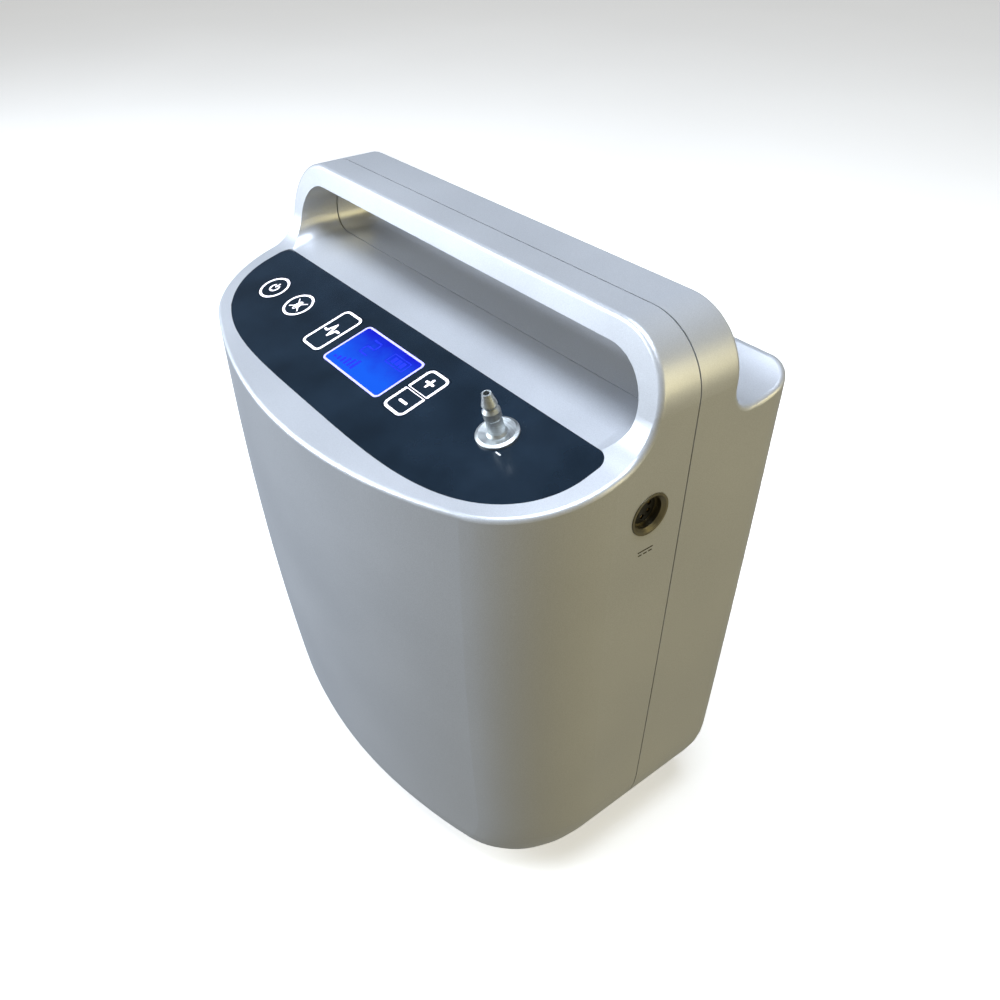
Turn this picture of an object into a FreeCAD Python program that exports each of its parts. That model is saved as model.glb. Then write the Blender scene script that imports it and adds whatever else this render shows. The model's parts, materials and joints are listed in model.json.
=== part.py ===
"""Portable oxygen concentrator, built as an assembly of separate pieces.

Frame: +Z up, +X to the right of a person facing the front, +Y to the back.
Origin: on the floor, under the middle of the case.  Units: millimetres.
The front shell and the rear shell meet at a flat seam across the handle.
"""
import FreeCAD, Part
import math
import os
import Sketcher

V = FreeCAD.Vector
doc = FreeCAD.newDocument("OxygenConcentrator")

# ------------------------------------------------------------------ sizes
SIZES = {
    # case
    "case_width": 256, "case_depth": 156, "case_height": 292, "wall": 2.5,
    "foot_height": 2, "seam_y": 21, "seam_gap": 0.6, "seam_depth": 1.3,
    "front_bow": 262, "front_corner": 48, "rear_corner": 13,
    "bottom_side_round": 52, "bottom_end_round": 26, "bottom_steps": 12,
    "side_draft": 2.5, "front_draft": 13, "draft_top": 212, "draft_steps": 8,
    "front_tighten": 0.75, "rear_widen": 14,
    "edge_round": 2,
    # control panel, a plane that rises to the back
    "panel_y": -32, "panel_z": 244.3, "panel_tilt": 15,
    "panel_half": 118.4, "panel_back": 23.9, "panel_front": 32.8, "panel_side": 12,
    "panel_corner": 6.5, "overlay_thick": 1.5,
    # handle
    "handle_lean": 12.2, "handle_foot_y": -2.1,
    "handle_back": 41.5, "handle_corner": 26, "front_foot": 20, "rear_foot": 11,
    "floor_z": 253.1, "opening_half": 118.5, "opening_top": 282.8,
    "opening_low": 8.5, "opening_high": 19, "opening_edge": 2,
    "trough_start": 67.5, "trough_round": 38, "trough_rise": 40,
    # keys and display
    "key_gap": 0.25, "key_thick": 2.6, "round_key": 8.1,
    "power_x": -90.9, "alarm_x": -66.6, "round_key_v": 0.5,
    "mode_x": -34.2, "mode_half_x": 7.4, "mode_half_v": 13.2, "key_corner": 2,
    "step_x": 33, "step_half_x": 7, "step_half_v": 13.3,
    "lcd_half_x": 21.9, "lcd_half_v": 12.8, "lcd_corner": 2.2, "lcd_thick": 3,
    "board_depth": 7.5, "board_thick": 1.6, "board_width": 142, "board_height": 32,
    "board_corner": 3, "board_x": -29, "board_v": -4, "switch_size": 6,
    # oxygen outlet
    "outlet_x": 77.4, "outlet_v": 6, "outlet_disc": 8.4, "outlet_stem": 2.7,
    "outlet_barb": 3.4, "outlet_bore": 1.2, "outlet_tall": 19.5, "nut_radius": 7,
    "nut_tall": 3, "nut_depth": 6.3,
    # DC inlet
    "socket_y": 3, "socket_z": 226.2, "socket_radius": 8.8, "socket_bore": 6.6,
    "socket_depth": 17, "socket_recess": 3.6, "socket_flare": 1.6,
    "pin_circle": 3.4, "pin_hole": 0.95, "pin_round": 0.6, "pin_deep": 5,
    # feet and screws
    "foot_radius": 9, "foot_x": 54, "foot_front": -20, "foot_rear": 40,
    "screw_radius": 2, "screw_head": 3.6, "screw_x": 108, "screw_low": 120,
    "screw_high": 243,
    # battery
    "pack_half": 84, "pack_low": 32, "pack_high": 108, "pack_depth": 43,
    "pack_wall": 1.8, "pack_gap": 0.4, "bay_wall": 2, "cell_radius": 9.1,
    "cell_length": 65, "cell_pitch": 19, "latch_half": 15, "contact_x": 56,
    "contact_z": 43, "socket_wide": 28, "socket_high": 10, "socket_thick": 4.6,
    "socket_round": 1,
    # air intake and exhaust, at the back
    "vent_x": 65, "vent_half": 40, "vent_low": 168, "vent_high": 232,
    "vent_corner": 7, "cover_thick": 3.4, "foam_thick": 8, "vent_depth": 14,
    # compressor
    "pump_x": -52, "pump_y": -14, "pump_radius": 38, "pump_wall": 2.5,
    "pump_base": 16, "mount_reach": 21, "motor_low": 22, "motor_high": 52, "rotor_radius": 17,
    "shaft_radius": 4, "crank_throw": 4, "pin_radius": 3, "wrap_pitch": 14,
    "wrap_thick": 2.6, "wrap_tall": 12, "wrap_start": 4, "bearing_gap": 0.05,
    "bearing_low": 67, "bearing_thick": 2,
    # sieve beds and product tank
    "bed_radius": 25, "bed_low": 34, "bed_high": 202, "bed_x": 35, "bed_y": -35,
    "bed_two_x": 90, "bed_two_y": -20, "tank_radius": 31, "tank_low": 118,
    "tank_high": 204, "tank_x": -60, "tank_y": -30, "cap_thick": 8,
    # manifold, fan, boards, chassis
    "manifold_low": 207, "manifold_tall": 14, "valve_radius": 7, "valve_length": 20,
    "fan_size": 60, "fan_thick": 20, "fan_bore": 28, "fan_hub": 11,
    "fan_y": 39, "chassis_y": 25, "chassis_thick": 2.5, "chassis_half": 115,
    "chassis_low": 14, "chassis_high": 248, "tube_radius": 3.2,
    "main_x": 22, "main_z": 138, "main_wide": 132, "main_high": 50, "standoff": 5,
    "sensor_x": -86, "sensor_z": 136, "sensor_wide": 28, "sensor_high": 28,
    "sensor_thick": 14, "silencer_radius": 13, "silencer_length": 52, "silencer_x": -96,
    "silencer_y": 59, "silencer_z": 134, "buzzer_radius": 6, "buzzer_tall": 5,
    "buzzer_x": -50, "buzzer_v": -9,
}

sheet = doc.addObject("Spreadsheet::Sheet", "Sizes")
for row, (alias, value) in enumerate(SIZES.items(), start=1):
    sheet.set(f"A{row}", alias)
    sheet.set(f"B{row}", str(value))
    sheet.setAlias(f"B{row}", alias)
doc.recompute()


def size(alias):
    """One driving dimension, as the sheet holds it."""
    return float(sheet.get(alias))


HALF = size("case_width") / 2
FRONT = -size("case_depth") / 2
REAR = size("case_depth") / 2
TOP = size("case_height")
WALL = size("wall")
SEAM = size("seam_y")
TILT = math.radians(size("panel_tilt"))
PANEL = FreeCAD.Placement(V(0, size("panel_y"), size("panel_z")),
                          FreeCAD.Rotation(V(1, 0, 0), size("panel_tilt")))
nodes = []


# ------------------------------------------------------- drawing helpers
def rounded_wire(corners, to_point):
    """Closed wire through (a, b, radius) corners, each rounded by a tangent arc."""
    starts, ends, middles = [], [], []
    count = len(corners)
    for i, (a, b, radius) in enumerate(corners):
        here = V(a, b, 0)
        before = V(corners[i - 1][0], corners[i - 1][1], 0) - here
        after = V(corners[(i + 1) % count][0], corners[(i + 1) % count][1], 0) - here
        before.normalize()
        after.normalize()
        half = before.getAngle(after) / 2
        reach = radius / math.tan(half)
        starts.append(here + before * reach)
        ends.append(here + after * reach)
        bisector = before + after
        bisector.normalize()
        middles.append(here + bisector * (radius / math.sin(half) - radius))
    edges = []
    for i in range(count):
        if corners[i][2] > 0:
            arc = Part.Arc(to_point(starts[i]), to_point(middles[i]), to_point(ends[i]))
            edges.append(arc.toShape())
        following = starts[(i + 1) % count]
        if (following - ends[i]).Length > 1e-6:
            edges.append(Part.makeLine(to_point(ends[i]), to_point(following)))
    return Part.Wire(edges)


def side_prism(corners, half):
    """Solid from corners in the side view (y, z), running from x = -half to +half."""
    wire = rounded_wire(corners, lambda p: V(-half, p.x, p.y))
    return Part.Face(wire).extrude(V(2 * half, 0, 0))


def back_prism(corners, near, far):
    """Solid from corners in the front view (x, z), running from y = near to far."""
    wire = rounded_wire(corners, lambda p: V(p.x, near, p.y))
    return Part.Face(wire).extrude(V(0, far - near, 0))


def panel_prism(corners, low, high):
    """Solid from corners on the panel (x, v), from low to high along its normal."""
    wire = rounded_wire(corners, lambda p: V(p.x, p.y, low))
    solid = Part.Face(wire).extrude(V(0, 0, high - low))
    solid.Placement = PANEL
    return solid


def rectangle(x, y, half_x, half_y, radius):
    """Corners of a rounded rectangle about (x, y)."""
    return [(x - half_x, y - half_y, radius), (x + half_x, y - half_y, radius),
            (x + half_x, y + half_y, radius), (x - half_x, y + half_y, radius)]


def box(x0, x1, y0, y1, z0, z1):
    return Part.makeBox(x1 - x0, y1 - y0, z1 - z0, V(x0, y0, z0))


def rod(radius, start, end):
    axis = V(*end) - V(*start)
    return Part.makeCylinder(radius, axis.Length, V(*start), axis)


def on_panel(x, v, n=0):
    return PANEL.multVec(V(x, v, n))


def tube_path(points, bend):
    """Straight runs joined by tangent arcs."""
    points = [V(*p) for p in points]
    edges = []
    last = points[0]
    for before, here, after in zip(points, points[1:], points[2:]):
        back = before - here
        on = after - here
        back.normalize()
        on.normalize()
        half = back.getAngle(on) / 2
        reach = bend / math.tan(half)
        middle = back + on
        middle.normalize()
        start = here + back * reach
        end = here + on * reach
        edges.append(Part.makeLine(last, start))
        arc = Part.Arc(start, here + middle * (bend / math.sin(half) - bend), end)
        edges.append(arc.toShape())
        last = end
    edges.append(Part.makeLine(last, points[-1]))
    return Part.Wire(edges)


def tube(points, radius, bend):
    path = tube_path(points, bend)
    first = path.Edges[0]
    section = Part.Wire(Part.makeCircle(radius, first.firstVertex().Point,
                                        first.tangentAt(first.FirstParameter)))
    return path.makePipeShell([section], True, False)


# ------------------------------------------------------ document helpers
def feature(label, shape):
    """A node whose shape is computed from the sheet."""
    item = doc.addObject("Part::Feature", label)
    item.Label = label
    item.Shape = shape
    nodes.append(item)
    return item


def new_body(label):
    body = doc.addObject("PartDesign::Body", label)
    body.Label = label
    nodes.append(body)
    return body


def sketch(body, role):
    """A sketch on one of the body's own origin planes."""
    plane = next(f for f in body.Origin.OriginFeatures if f.Role == role)
    drawn = body.newObject("Sketcher::SketchObject", body.Name + "Sketch")
    drawn.AttachmentSupport = (plane, [""])
    drawn.MapMode = "FlatFace"
    return drawn


def circle(drawn, radius):
    """A circle about the sketch's origin, its radius bound to the sheet."""
    index = drawn.addGeometry(Part.Circle(V(0, 0, 0), V(0, 0, 1), 5), False)
    drawn.addConstraint(Sketcher.Constraint("Coincident", index, 3, -1, 1))
    bound = drawn.addConstraint(Sketcher.Constraint("Radius", index, 5))
    drawn.setExpression(f"Constraints[{bound}]", radius)


def centred_rectangle(drawn, width, height):
    """A rectangle about the sketch's origin, its sides bound to the sheet."""
    corners = [V(-5, -5, 0), V(5, -5, 0), V(5, 5, 0), V(-5, 5, 0)]
    for start, end in zip(corners, corners[1:] + corners[:1]):
        drawn.addGeometry(Part.LineSegment(start, end), False)
    for i in range(4):
        drawn.addConstraint(Sketcher.Constraint("Coincident", i, 2, (i + 1) % 4, 1))
    for i in (0, 2):
        drawn.addConstraint(Sketcher.Constraint("Horizontal", i))
    for i in (1, 3):
        drawn.addConstraint(Sketcher.Constraint("Vertical", i))
    drawn.addConstraint(Sketcher.Constraint("Symmetric", 0, 1, 2, 1, -1, 1))
    wide = drawn.addConstraint(Sketcher.Constraint("DistanceX", 0, 1, 0, 2, 10))
    tall = drawn.addConstraint(Sketcher.Constraint("DistanceY", 1, 1, 1, 2, 10))
    drawn.setExpression(f"Constraints[{wide}]", width)
    drawn.setExpression(f"Constraints[{tall}]", height)


def pad(body, drawn, length):
    made = body.newObject("PartDesign::Pad", body.Name + "Pad")
    made.Profile = drawn
    made.setExpression("Length", length)
    return made


def rounded(body, base, direction, radius):
    """Round the padded edges that run along a direction."""
    doc.recompute()
    names = []
    for i, edge in enumerate(base.Shape.Edges, start=1):
        straight = isinstance(edge.Curve, Part.Line)
        if straight and edge.Curve.Direction.cross(direction).Length < 1e-6:
            names.append(f"Edge{i}")
    made = body.newObject("PartDesign::Fillet", body.Name + "Fillet")
    made.Base = (base, names)
    made.setExpression("Radius", radius)


def bind_place(item, **cells):
    """Bind the placement's base to expressions."""
    for axis, expression in cells.items():
        item.setExpression(f"Placement.Base.{axis}", expression)


def disc_body(label, radius, length, bore=None):
    """A round body on its own XY plane, with a bore if one is given."""
    body = new_body(label)
    outline = sketch(body, "XY_Plane")
    circle(outline, radius)
    if bore:
        circle(outline, bore)
    pad(body, outline, length)
    return body


def plate_body(label, width, height, thickness, corner):
    """A flat body with rounded corners on its own XY plane."""
    body = new_body(label)
    outline = sketch(body, "XY_Plane")
    centred_rectangle(outline, width, height)
    padded = pad(body, outline, thickness)
    rounded(body, padded, V(0, 0, 1), corner)
    return body


# ---------------------------------------------------------- case envelope
def slope_z(y):
    """Height of the panel plane at depth y."""
    return size("panel_z") + (y - size("panel_y")) * math.tan(TILT)


def plan_outline(z, inset_side, inset_front, inset_rear, corner, back_corner):
    """Edges of the case outline at height z: bowed front, flat sides, flat back."""
    half = HALF - inset_side
    front = FRONT + inset_front
    rear = REAR - inset_rear
    bow = size("front_bow")
    centre = V(half - corner, 0, z)
    centre.y = front + bow - math.sqrt((bow - corner) ** 2 - centre.x ** 2)
    bow_centre = V(0, front + bow, z)
    out = centre - bow_centre
    out.normalize()
    join = bow_centre + out * bow
    middle_out = out + V(1, 0, 0)
    middle_out.normalize()
    middle = centre + middle_out * corner
    side_start = V(half, centre.y, z)
    side_end = V(half, rear - back_corner, z)
    diagonal = back_corner * (1 - math.sqrt(0.5))
    back_middle = V(half - diagonal, rear - diagonal, z)
    back_start = V(half - back_corner, rear, z)

    def mirrored(point):
        return V(-point.x, point.y, point.z)

    return [
        Part.Arc(mirrored(join), V(0, front, z), join).toShape(),
        Part.Arc(join, middle, side_start).toShape(),
        Part.makeLine(side_start, side_end),
        Part.Arc(side_end, back_middle, back_start).toShape(),
        Part.makeLine(back_start, mirrored(back_start)),
        Part.Arc(mirrored(back_start), mirrored(back_middle), mirrored(side_end)).toShape(),
        Part.makeLine(mirrored(side_end), mirrored(side_start)),
        Part.Arc(mirrored(side_start), mirrored(middle), mirrored(join)).toShape(),
    ]


def rounding(height, radius):
    """How far a rounded bottom edge stands in at a height above the bottom."""
    if height >= radius:
        return 0
    return radius - math.sqrt(radius ** 2 - (radius - height) ** 2)


def trunk(inset):
    """The case without its top: rounded bottom, drafted sides, straight upper part."""
    bottom = size("foot_height") + inset
    side_round = size("bottom_side_round")
    end_round = size("bottom_end_round")
    draft_top = size("draft_top")
    steps = size("bottom_steps")
    heights = [side_round * (1 - math.cos(math.pi / 2 * k / steps)) for k in range(int(steps) + 1)]
    draft_step = (draft_top - side_round) / size("draft_steps")
    heights += [side_round + draft_step * (k + 1) for k in range(int(size("draft_steps")))]
    sections = []
    for height in heights:
        lean = (1 - height / draft_top) ** 2
        ease = rounding(height, side_round) / side_round
        sections.append(plan_outline(
            bottom + height * (draft_top - inset) / draft_top,
            rounding(height, side_round) + size("side_draft") * lean + inset,
            rounding(height, end_round) + size("front_draft") * lean + inset,
            rounding(height, end_round) + inset,
            size("front_corner") * (1 - size("front_tighten") * ease) - inset,
            size("rear_corner") + size("rear_widen") * ease - inset))
    sections.append(plan_outline(TOP - inset, inset, inset, inset, size("front_corner") - inset,
                                 size("rear_corner") - inset))
    faces = [Part.Face(Part.Wire(sections[0])), Part.Face(Part.Wire(sections[-1]))]
    for below, above in zip(sections, sections[1:]):
        faces += [Part.makeRuledSurface(low, high) for low, high in zip(below, above)]
    shell = Part.makeShell(faces)
    shell.sewShape()
    solid = Part.makeSolid(shell)
    if solid.Volume < 0:
        solid.reverse()
    return solid


def case_profile():
    """Side view of the whole case: panel slope, handle, trough behind the handle."""
    lean = math.tan(math.radians(size("handle_lean")))
    foot_y = size("handle_foot_y")
    foot_z = slope_z(foot_y)
    over = TOP + 20
    rise = math.radians(size("trough_rise"))
    out = REAR + 20
    return [
        (FRONT - 20, -10, 0), (FRONT - 20, slope_z(FRONT - 20), 0),
        (foot_y, foot_z, size("front_foot")),
        (foot_y + (over - foot_z) * lean, over, 0),
        (size("handle_back"), over, 0),
        (size("handle_back"), size("floor_z"), size("rear_foot")),
        (size("trough_start"), size("floor_z"), size("trough_round")),
        (out, size("floor_z") + (out - size("trough_start")) * math.tan(rise), 0),
        (out, -10, 0),
    ]


def opening_tool():
    """The handle opening: slope, nearly level floor, upright ends."""
    half = size("opening_half")
    top = size("opening_top")
    ease = math.tan(TILT - math.radians(0.7))
    start_y = size("handle_foot_y") - 34
    touch_y = size("handle_foot_y") - 7
    bend_y = 6.5
    corners = [
        (start_y, slope_z(touch_y) + (start_y - touch_y) * ease, 0),
        (bend_y, slope_z(touch_y) + (bend_y - touch_y) * ease, 45),
        (size("handle_back") + 13, size("floor_z") + 0.1, 0),
        (size("handle_back") + 13, top, 0), (start_y, top, 0),
    ]
    solid = side_prism(corners, half)
    low, high = [], []
    for edge in solid.Edges:
        centre = edge.CenterOfMass
        along_side = abs(abs(centre.x) - half) < 0.01
        ends = [vertex.Point.y for vertex in edge.Vertexes]
        if along_side and abs(ends[0] - ends[1]) > 0.01:
            (high if centre.z > top - 1 else low).append(edge)
    solid = solid.makeFillet(size("opening_low"), low)
    high = [e for e in solid.Edges if abs(e.CenterOfMass.z - top) < 0.01
            and abs(abs(e.CenterOfMass.x) - half) < 0.01]
    return solid.makeFillet(size("opening_high"), high)


def handle_corner_tool(side):
    """What the rounded outer corner of the handle takes off, left or right."""
    radius = size("handle_corner")
    inner = HALF - radius
    block = box(inner, HALF + 5, -40, REAR + 5, TOP - radius, TOP + 5)
    tool = block.cut(rod(radius, (inner, -45, TOP - radius), (inner, REAR + 10, TOP - radius)))
    return tool if side > 0 else tool.mirror(V(0, 0, 0), V(1, 0, 0))


def sharp_edges(solid, wanted):
    """Edges where two faces meet at a clear angle, at points that are wanted."""
    chosen = []
    for edge in solid.Edges:
        middle = edge.valueAt((edge.FirstParameter + edge.LastParameter) / 2)
        faces = solid.ancestorsOfType(edge, Part.Face)
        if len(faces) != 2 or not wanted(middle):
            continue
        normals = [face.normalAt(*face.Surface.parameter(middle)) for face in faces]
        if normals[0].getAngle(normals[1]) > math.radians(20):
            chosen.append(edge)
    return chosen


def case_solid():
    """The whole outside of the case as one solid, with its handle opening."""
    solid = trunk(0).common(side_prism(case_profile(), HALF + 6))
    for side in (1, -1):
        solid = solid.cut(handle_corner_tool(side))
    solid = solid.removeSplitter().Solids[0]
    rim = sharp_edges(solid, lambda p: p.z > slope_z(FRONT) - 2)
    solid = solid.makeFillet(size("edge_round"), rim)
    solid = solid.cut(opening_tool()).Solids[0]
    back_edges = sharp_edges(solid, lambda p: p.z > 256 and abs(p.x) < HALF - 8 and
                             abs(p.y - size("handle_back")) < 1)
    return solid.makeFillet(size("opening_edge"), back_edges)


def cavity_solid():
    """The hollow inside the case, one wall in from the outside, without the handle."""
    drop = WALL / math.cos(TILT)
    ceiling = size("floor_z") - WALL
    meet_y = size("panel_y") + (ceiling + drop - size("panel_z")) / math.tan(TILT)
    corners = [
        (FRONT - 20, -10, 0), (FRONT - 20, slope_z(FRONT - 20) - drop, 0),
        (meet_y, ceiling, 15), (REAR + 20, ceiling, 0), (REAR + 20, -10, 0),
    ]
    return trunk(WALL).common(side_prism(corners, HALF + 6)).Solids[0]


# ------------------------------------------------------------ panel layout
def panel_corners():
    """Outline of the black overlay: superelliptic front, straight back."""
    half = size("panel_half")
    side = size("panel_side")
    reach = size("panel_front") + side
    steps = 12
    curve = []
    for i in range(-steps, steps + 1):
        angle = math.pi / 2 * i / steps
        x = half * math.copysign(abs(math.sin(angle)) ** (2 / 3.9), angle)
        curve.append(V(x, side - reach * math.cos(angle), 0))
    return curve


def panel_face(low, high):
    """Overlay-shaped solid between two heights along the panel normal."""
    half = size("panel_half")
    back = size("panel_back")
    corner = size("panel_corner")
    curve = Part.BSplineCurve()
    curve.interpolate(panel_corners())
    diagonal = corner * (1 - math.sqrt(0.5))
    right = (V(half, back - corner, 0), V(half - diagonal, back - diagonal, 0),
             V(half - corner, back, 0))
    left = [V(-p.x, p.y, 0) for p in right]
    edges = [
        curve.toShape(),
        Part.makeLine(V(half, size("panel_side"), 0), right[0]),
        Part.Arc(*right).toShape(),
        Part.makeLine(right[2], left[2]),
        Part.Arc(left[2], left[1], left[0]).toShape(),
        Part.makeLine(left[0], V(-half, size("panel_side"), 0)),
    ]
    solid = Part.Face(Part.Wire(edges)).extrude(V(0, 0, high - low))
    solid.translate(V(0, 0, low))
    solid.Placement = PANEL.multiply(solid.Placement)
    return solid


def key_layout():
    """Each key: name, x, v, half width, half height, corner radius."""
    round_key = size("round_key")
    step_v = size("step_half_v") / 2
    step = (size("step_half_x"), step_v - size("key_gap") / 2, size("key_corner"))
    return [
        ("power_key", size("power_x"), size("round_key_v"), round_key, round_key, None),
        ("alarm_mute_key", size("alarm_x"), size("round_key_v"), round_key, round_key, None),
        ("mode_key", size("mode_x"), 0.3, size("mode_half_x"), size("mode_half_v"),
         size("key_corner")),
        ("plus_key", size("step_x"), step_v, *step),
        ("minus_key", size("step_x"), -step_v, *step),
    ]


def key_prism(key, grow, low, high):
    """A key's outline, grown by a gap, between two heights along the panel normal."""
    x, v, half_x, half_v, corner = key[1:]
    if corner is None:
        return rod(half_x + grow, on_panel(x, v, low), on_panel(x, v, high))
    corners = rectangle(x, v, half_x + grow, half_v + grow, corner + grow)
    return panel_prism(corners, low, high)


def lcd_prism(grow, low, high):
    corners = rectangle(0, 0, size("lcd_half_x") + grow, size("lcd_half_v") + grow,
                        size("lcd_corner") + grow)
    return panel_prism(corners, low, high)


# ------------------------------------------------------------ the two shells
def vent_corners(side, grow=0):
    """Corners in the front view of the intake (-1) or exhaust (+1) opening."""
    middle = (size("vent_low") + size("vent_high")) / 2
    half_z = (size("vent_high") - size("vent_low")) / 2
    return rectangle(side * size("vent_x"), middle, size("vent_half") + grow,
                     half_z + grow, size("vent_corner") + grow)


def bay_corners(grow=0):
    """Corners in the front view of the battery bay."""
    middle = (size("pack_low") + size("pack_high")) / 2
    half_z = (size("pack_high") - size("pack_low")) / 2
    return rectangle(0, middle, size("pack_half") + grow, half_z + grow, 5 + grow)


def screw_places():
    return [(side * size("screw_x"), z) for side in (-1, 1)
            for z in (size("screw_low"), size("screw_high"))]


def pump_feet():
    reach = size("mount_reach")
    return [(size("pump_x") + dx, size("pump_y") + dy)
            for dx in (-reach, reach) for dy in (-reach, reach)]


CASE = case_solid()
CAVITY = cavity_solid()
SHELL = CASE.cut(CAVITY)
HALF_GAP = size("seam_gap") / 2
POST_RADIUS = 5


def front_shell():
    shell = SHELL.common(box(-200, 200, -200, SEAM - HALF_GAP, -10, 400))
    bosses = [rod(7, (x, y, size("foot_height") + 1), (x, y, size("pump_base") - 8))
              for x, y in pump_feet()]
    for x, z in chassis_screws():
        front = wall_depth(x, z)
        bosses.append(rod(POST_RADIUS, (x, front, z), (x, size("chassis_y"), z)))
    inner = CASE.common(box(-200, 200, -200, size("chassis_y"), -10, 400))
    for boss in bosses:
        shell = shell.fuse(boss.common(inner))
    for x, z in chassis_screws():
        depth = size("chassis_y")
        shell = shell.cut(rod(1.7, (x, depth - 12, z), (x, depth + 1, z)))
    shell = shell.cut(panel_face(-size("overlay_thick"), 12))
    window = rectangle(-28, -4, 73, 17.5, 6)
    shell = shell.cut(panel_prism(window, -8, 2))
    stem = size("outlet_barb")
    outlet = (size("outlet_x"), size("outlet_v"))
    shell = shell.cut(rod(stem, on_panel(*outlet, -12), on_panel(*outlet, 4)))
    centre = (size("socket_y"), size("socket_z"))
    return shell.cut(rod(size("socket_radius") + 0.1, (HALF - 12, *centre), (HALF + 5, *centre)))


def chassis_screws():
    """Where the chassis is screwed to posts of the front shell (x, z)."""
    return [(-101, 96), (-101, 216), (4, 196), (8, 20)]


def wall_depth(x, z):
    """Depth just inside the front wall at a place in the front view."""
    line = Part.makeLine(V(x, FRONT - 30, z), V(x, 0, z))
    inside = line.common(CASE)
    return inside.BoundBox.YMin + 1


def rear_shell():
    shell = SHELL.common(box(-200, 200, SEAM + HALF_GAP, 200, -10, 400))
    wall = size("bay_wall")
    bay_deep = REAR - size("pack_depth") - size("pack_gap")
    gap = size("pack_gap")
    liner = back_prism(bay_corners(gap + wall), bay_deep - wall, REAR - 1)
    pockets = [back_prism(vent_corners(side, wall), REAR - size("vent_depth") - wall, REAR - 1)
               for side in (-1, 1)]
    for piece in [liner] + pockets:
        shell = shell.fuse(piece.common(CASE))
    shell = shell.cut(back_prism(bay_corners(gap), bay_deep, REAR + 5))
    for side in (-1, 1):
        shell = shell.cut(back_prism(vent_corners(side, 0), REAR - size("vent_depth"), REAR + 5))
    half = size("latch_half") - 2
    slot = box(-half - 0.5, half + 0.5, REAR - 14.5, REAR - 9.5,
               size("pack_high"), size("pack_high") + gap + wall + 2)
    shell = shell.cut(slot)
    middle = (size("vent_low") + size("vent_high")) / 2
    back = REAR - size("vent_depth")
    shell = shell.cut(box(-size("vent_x") - 30, -size("vent_x") + 30, back - wall - 2, back + 1,
                          middle - 22, middle + 22))
    fan = size("fan_bore") + 0.5
    shell = shell.cut(rod(fan, (size("vent_x"), back - wall - 2, middle),
                          (size("vent_x"), back + 1, middle)))
    contacts = box(40, 72, bay_deep - wall - 3, bay_deep + 3, 36, 50)
    shell = shell.cut(contacts)
    for x, z in screw_places():
        tall = rod(POST_RADIUS, (x, size("chassis_y") + size("chassis_thick"), z), (x, REAR - 1, z))
        shell = shell.fuse(tall.common(CASE))
        shell = shell.cut(rod(size("screw_head") + 0.4, (x, REAR - 9, z), (x, REAR + 5, z)))
        shell = shell.cut(rod(size("screw_radius") + 0.1, (x, 0, z), (x, REAR, z)))
    return shell


def seam_gasket():
    """The dark band that fills the seam, a little below the surface."""
    slab = box(-200, 200, SEAM - HALF_GAP, SEAM + HALF_GAP, -10, 400)
    section = SHELL.common(slab)
    depth = size("seam_depth")
    outer = rectangle(0, TOP / 2 + 1, HALF - depth, TOP / 2 - 1 - depth, size("handle_corner"))
    frame = trunk(depth).common(slab).common(back_prism(outer, 0, 50))
    half = size("opening_half") + depth
    floor = slope_z(0)
    grip = rectangle(0, (floor + size("opening_top")) / 2, half,
                     (size("opening_top") - floor) / 2 + depth, 9)
    return section.common(frame).cut(back_prism(grip, 0, 50))


feature("front_shell", front_shell())
feature("rear_shell", rear_shell())
feature("seam_gasket", seam_gasket())

# -------------------------------------------------------- control panel
KEYS = key_layout()
overlay = panel_face(-size("overlay_thick"), 0)
for key in KEYS:
    overlay = overlay.cut(key_prism(key, size("key_gap"), -9, 9))
overlay = overlay.cut(lcd_prism(0, -9, 9))
outlet_place = (size("outlet_x"), size("outlet_v"))
overlay = overlay.cut(rod(size("outlet_barb"), on_panel(*outlet_place, -9),
                          on_panel(*outlet_place, 9)))
feature("panel_overlay", overlay)
for key in KEYS:
    cap = key_prism(key, 0, -size("key_thick"), 0)
    stem_top = -size("key_thick")
    stem_low = -(size("board_depth") - 3.4)
    cap = cap.fuse(rod(2, on_panel(key[1], key[2], stem_low), on_panel(key[1], key[2], stem_top)))
    feature(key[0], cap)


def facing_panel(body, x, v, depth):
    """Stand a body on the panel's own axes, its base below the surface by a depth."""
    body.Placement = PANEL.multiply(FreeCAD.Placement(V(x, v, -depth), FreeCAD.Rotation()))


window = plate_body("lcd_window", "2 * Sizes.lcd_half_x", "2 * Sizes.lcd_half_v",
                    "Sizes.overlay_thick", "Sizes.lcd_corner")
facing_panel(window, 0, 0, size("overlay_thick"))
lcd_depth = size("overlay_thick") + size("lcd_thick")
module = plate_body("lcd_module", "2 * Sizes.lcd_half_x - 2", "2 * Sizes.lcd_half_v - 2",
                    "Sizes.lcd_thick", "Sizes.lcd_corner - 1")
facing_panel(module, 0, 0, lcd_depth)
board_top = -size("board_depth")
board_low = board_top - size("board_thick")
board = plate_body("display_board", "Sizes.board_width", "Sizes.board_height",
                   "Sizes.board_thick", "Sizes.board_corner")
facing_panel(board, size("board_x"), size("board_v"), -board_low)
switches = []
for key in KEYS:
    half = size("switch_size") / 2
    body_top = board_top + 2.4
    switches.append(panel_prism(rectangle(key[1], key[2], half, half, 0.6), board_top, body_top))
    switches.append(rod(1.5, on_panel(key[1], key[2], body_top),
                        on_panel(key[1], key[2], body_top + 0.3)))
switches = Part.makeCompound([a.fuse(b) for a, b in zip(switches[::2], switches[1::2])])
feature("key_switches", switches)
carrier = panel_prism(rectangle(0, 0, size("lcd_half_x"), size("lcd_half_v") - 1, 1),
                      board_top, -lcd_depth)
carrier = carrier.cut(panel_prism(rectangle(0, 0, size("lcd_half_x") - 2, size("lcd_half_v") - 3, 1),
                                  board_top - 1, 1 - lcd_depth))
feature("lcd_frame", carrier)

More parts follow.
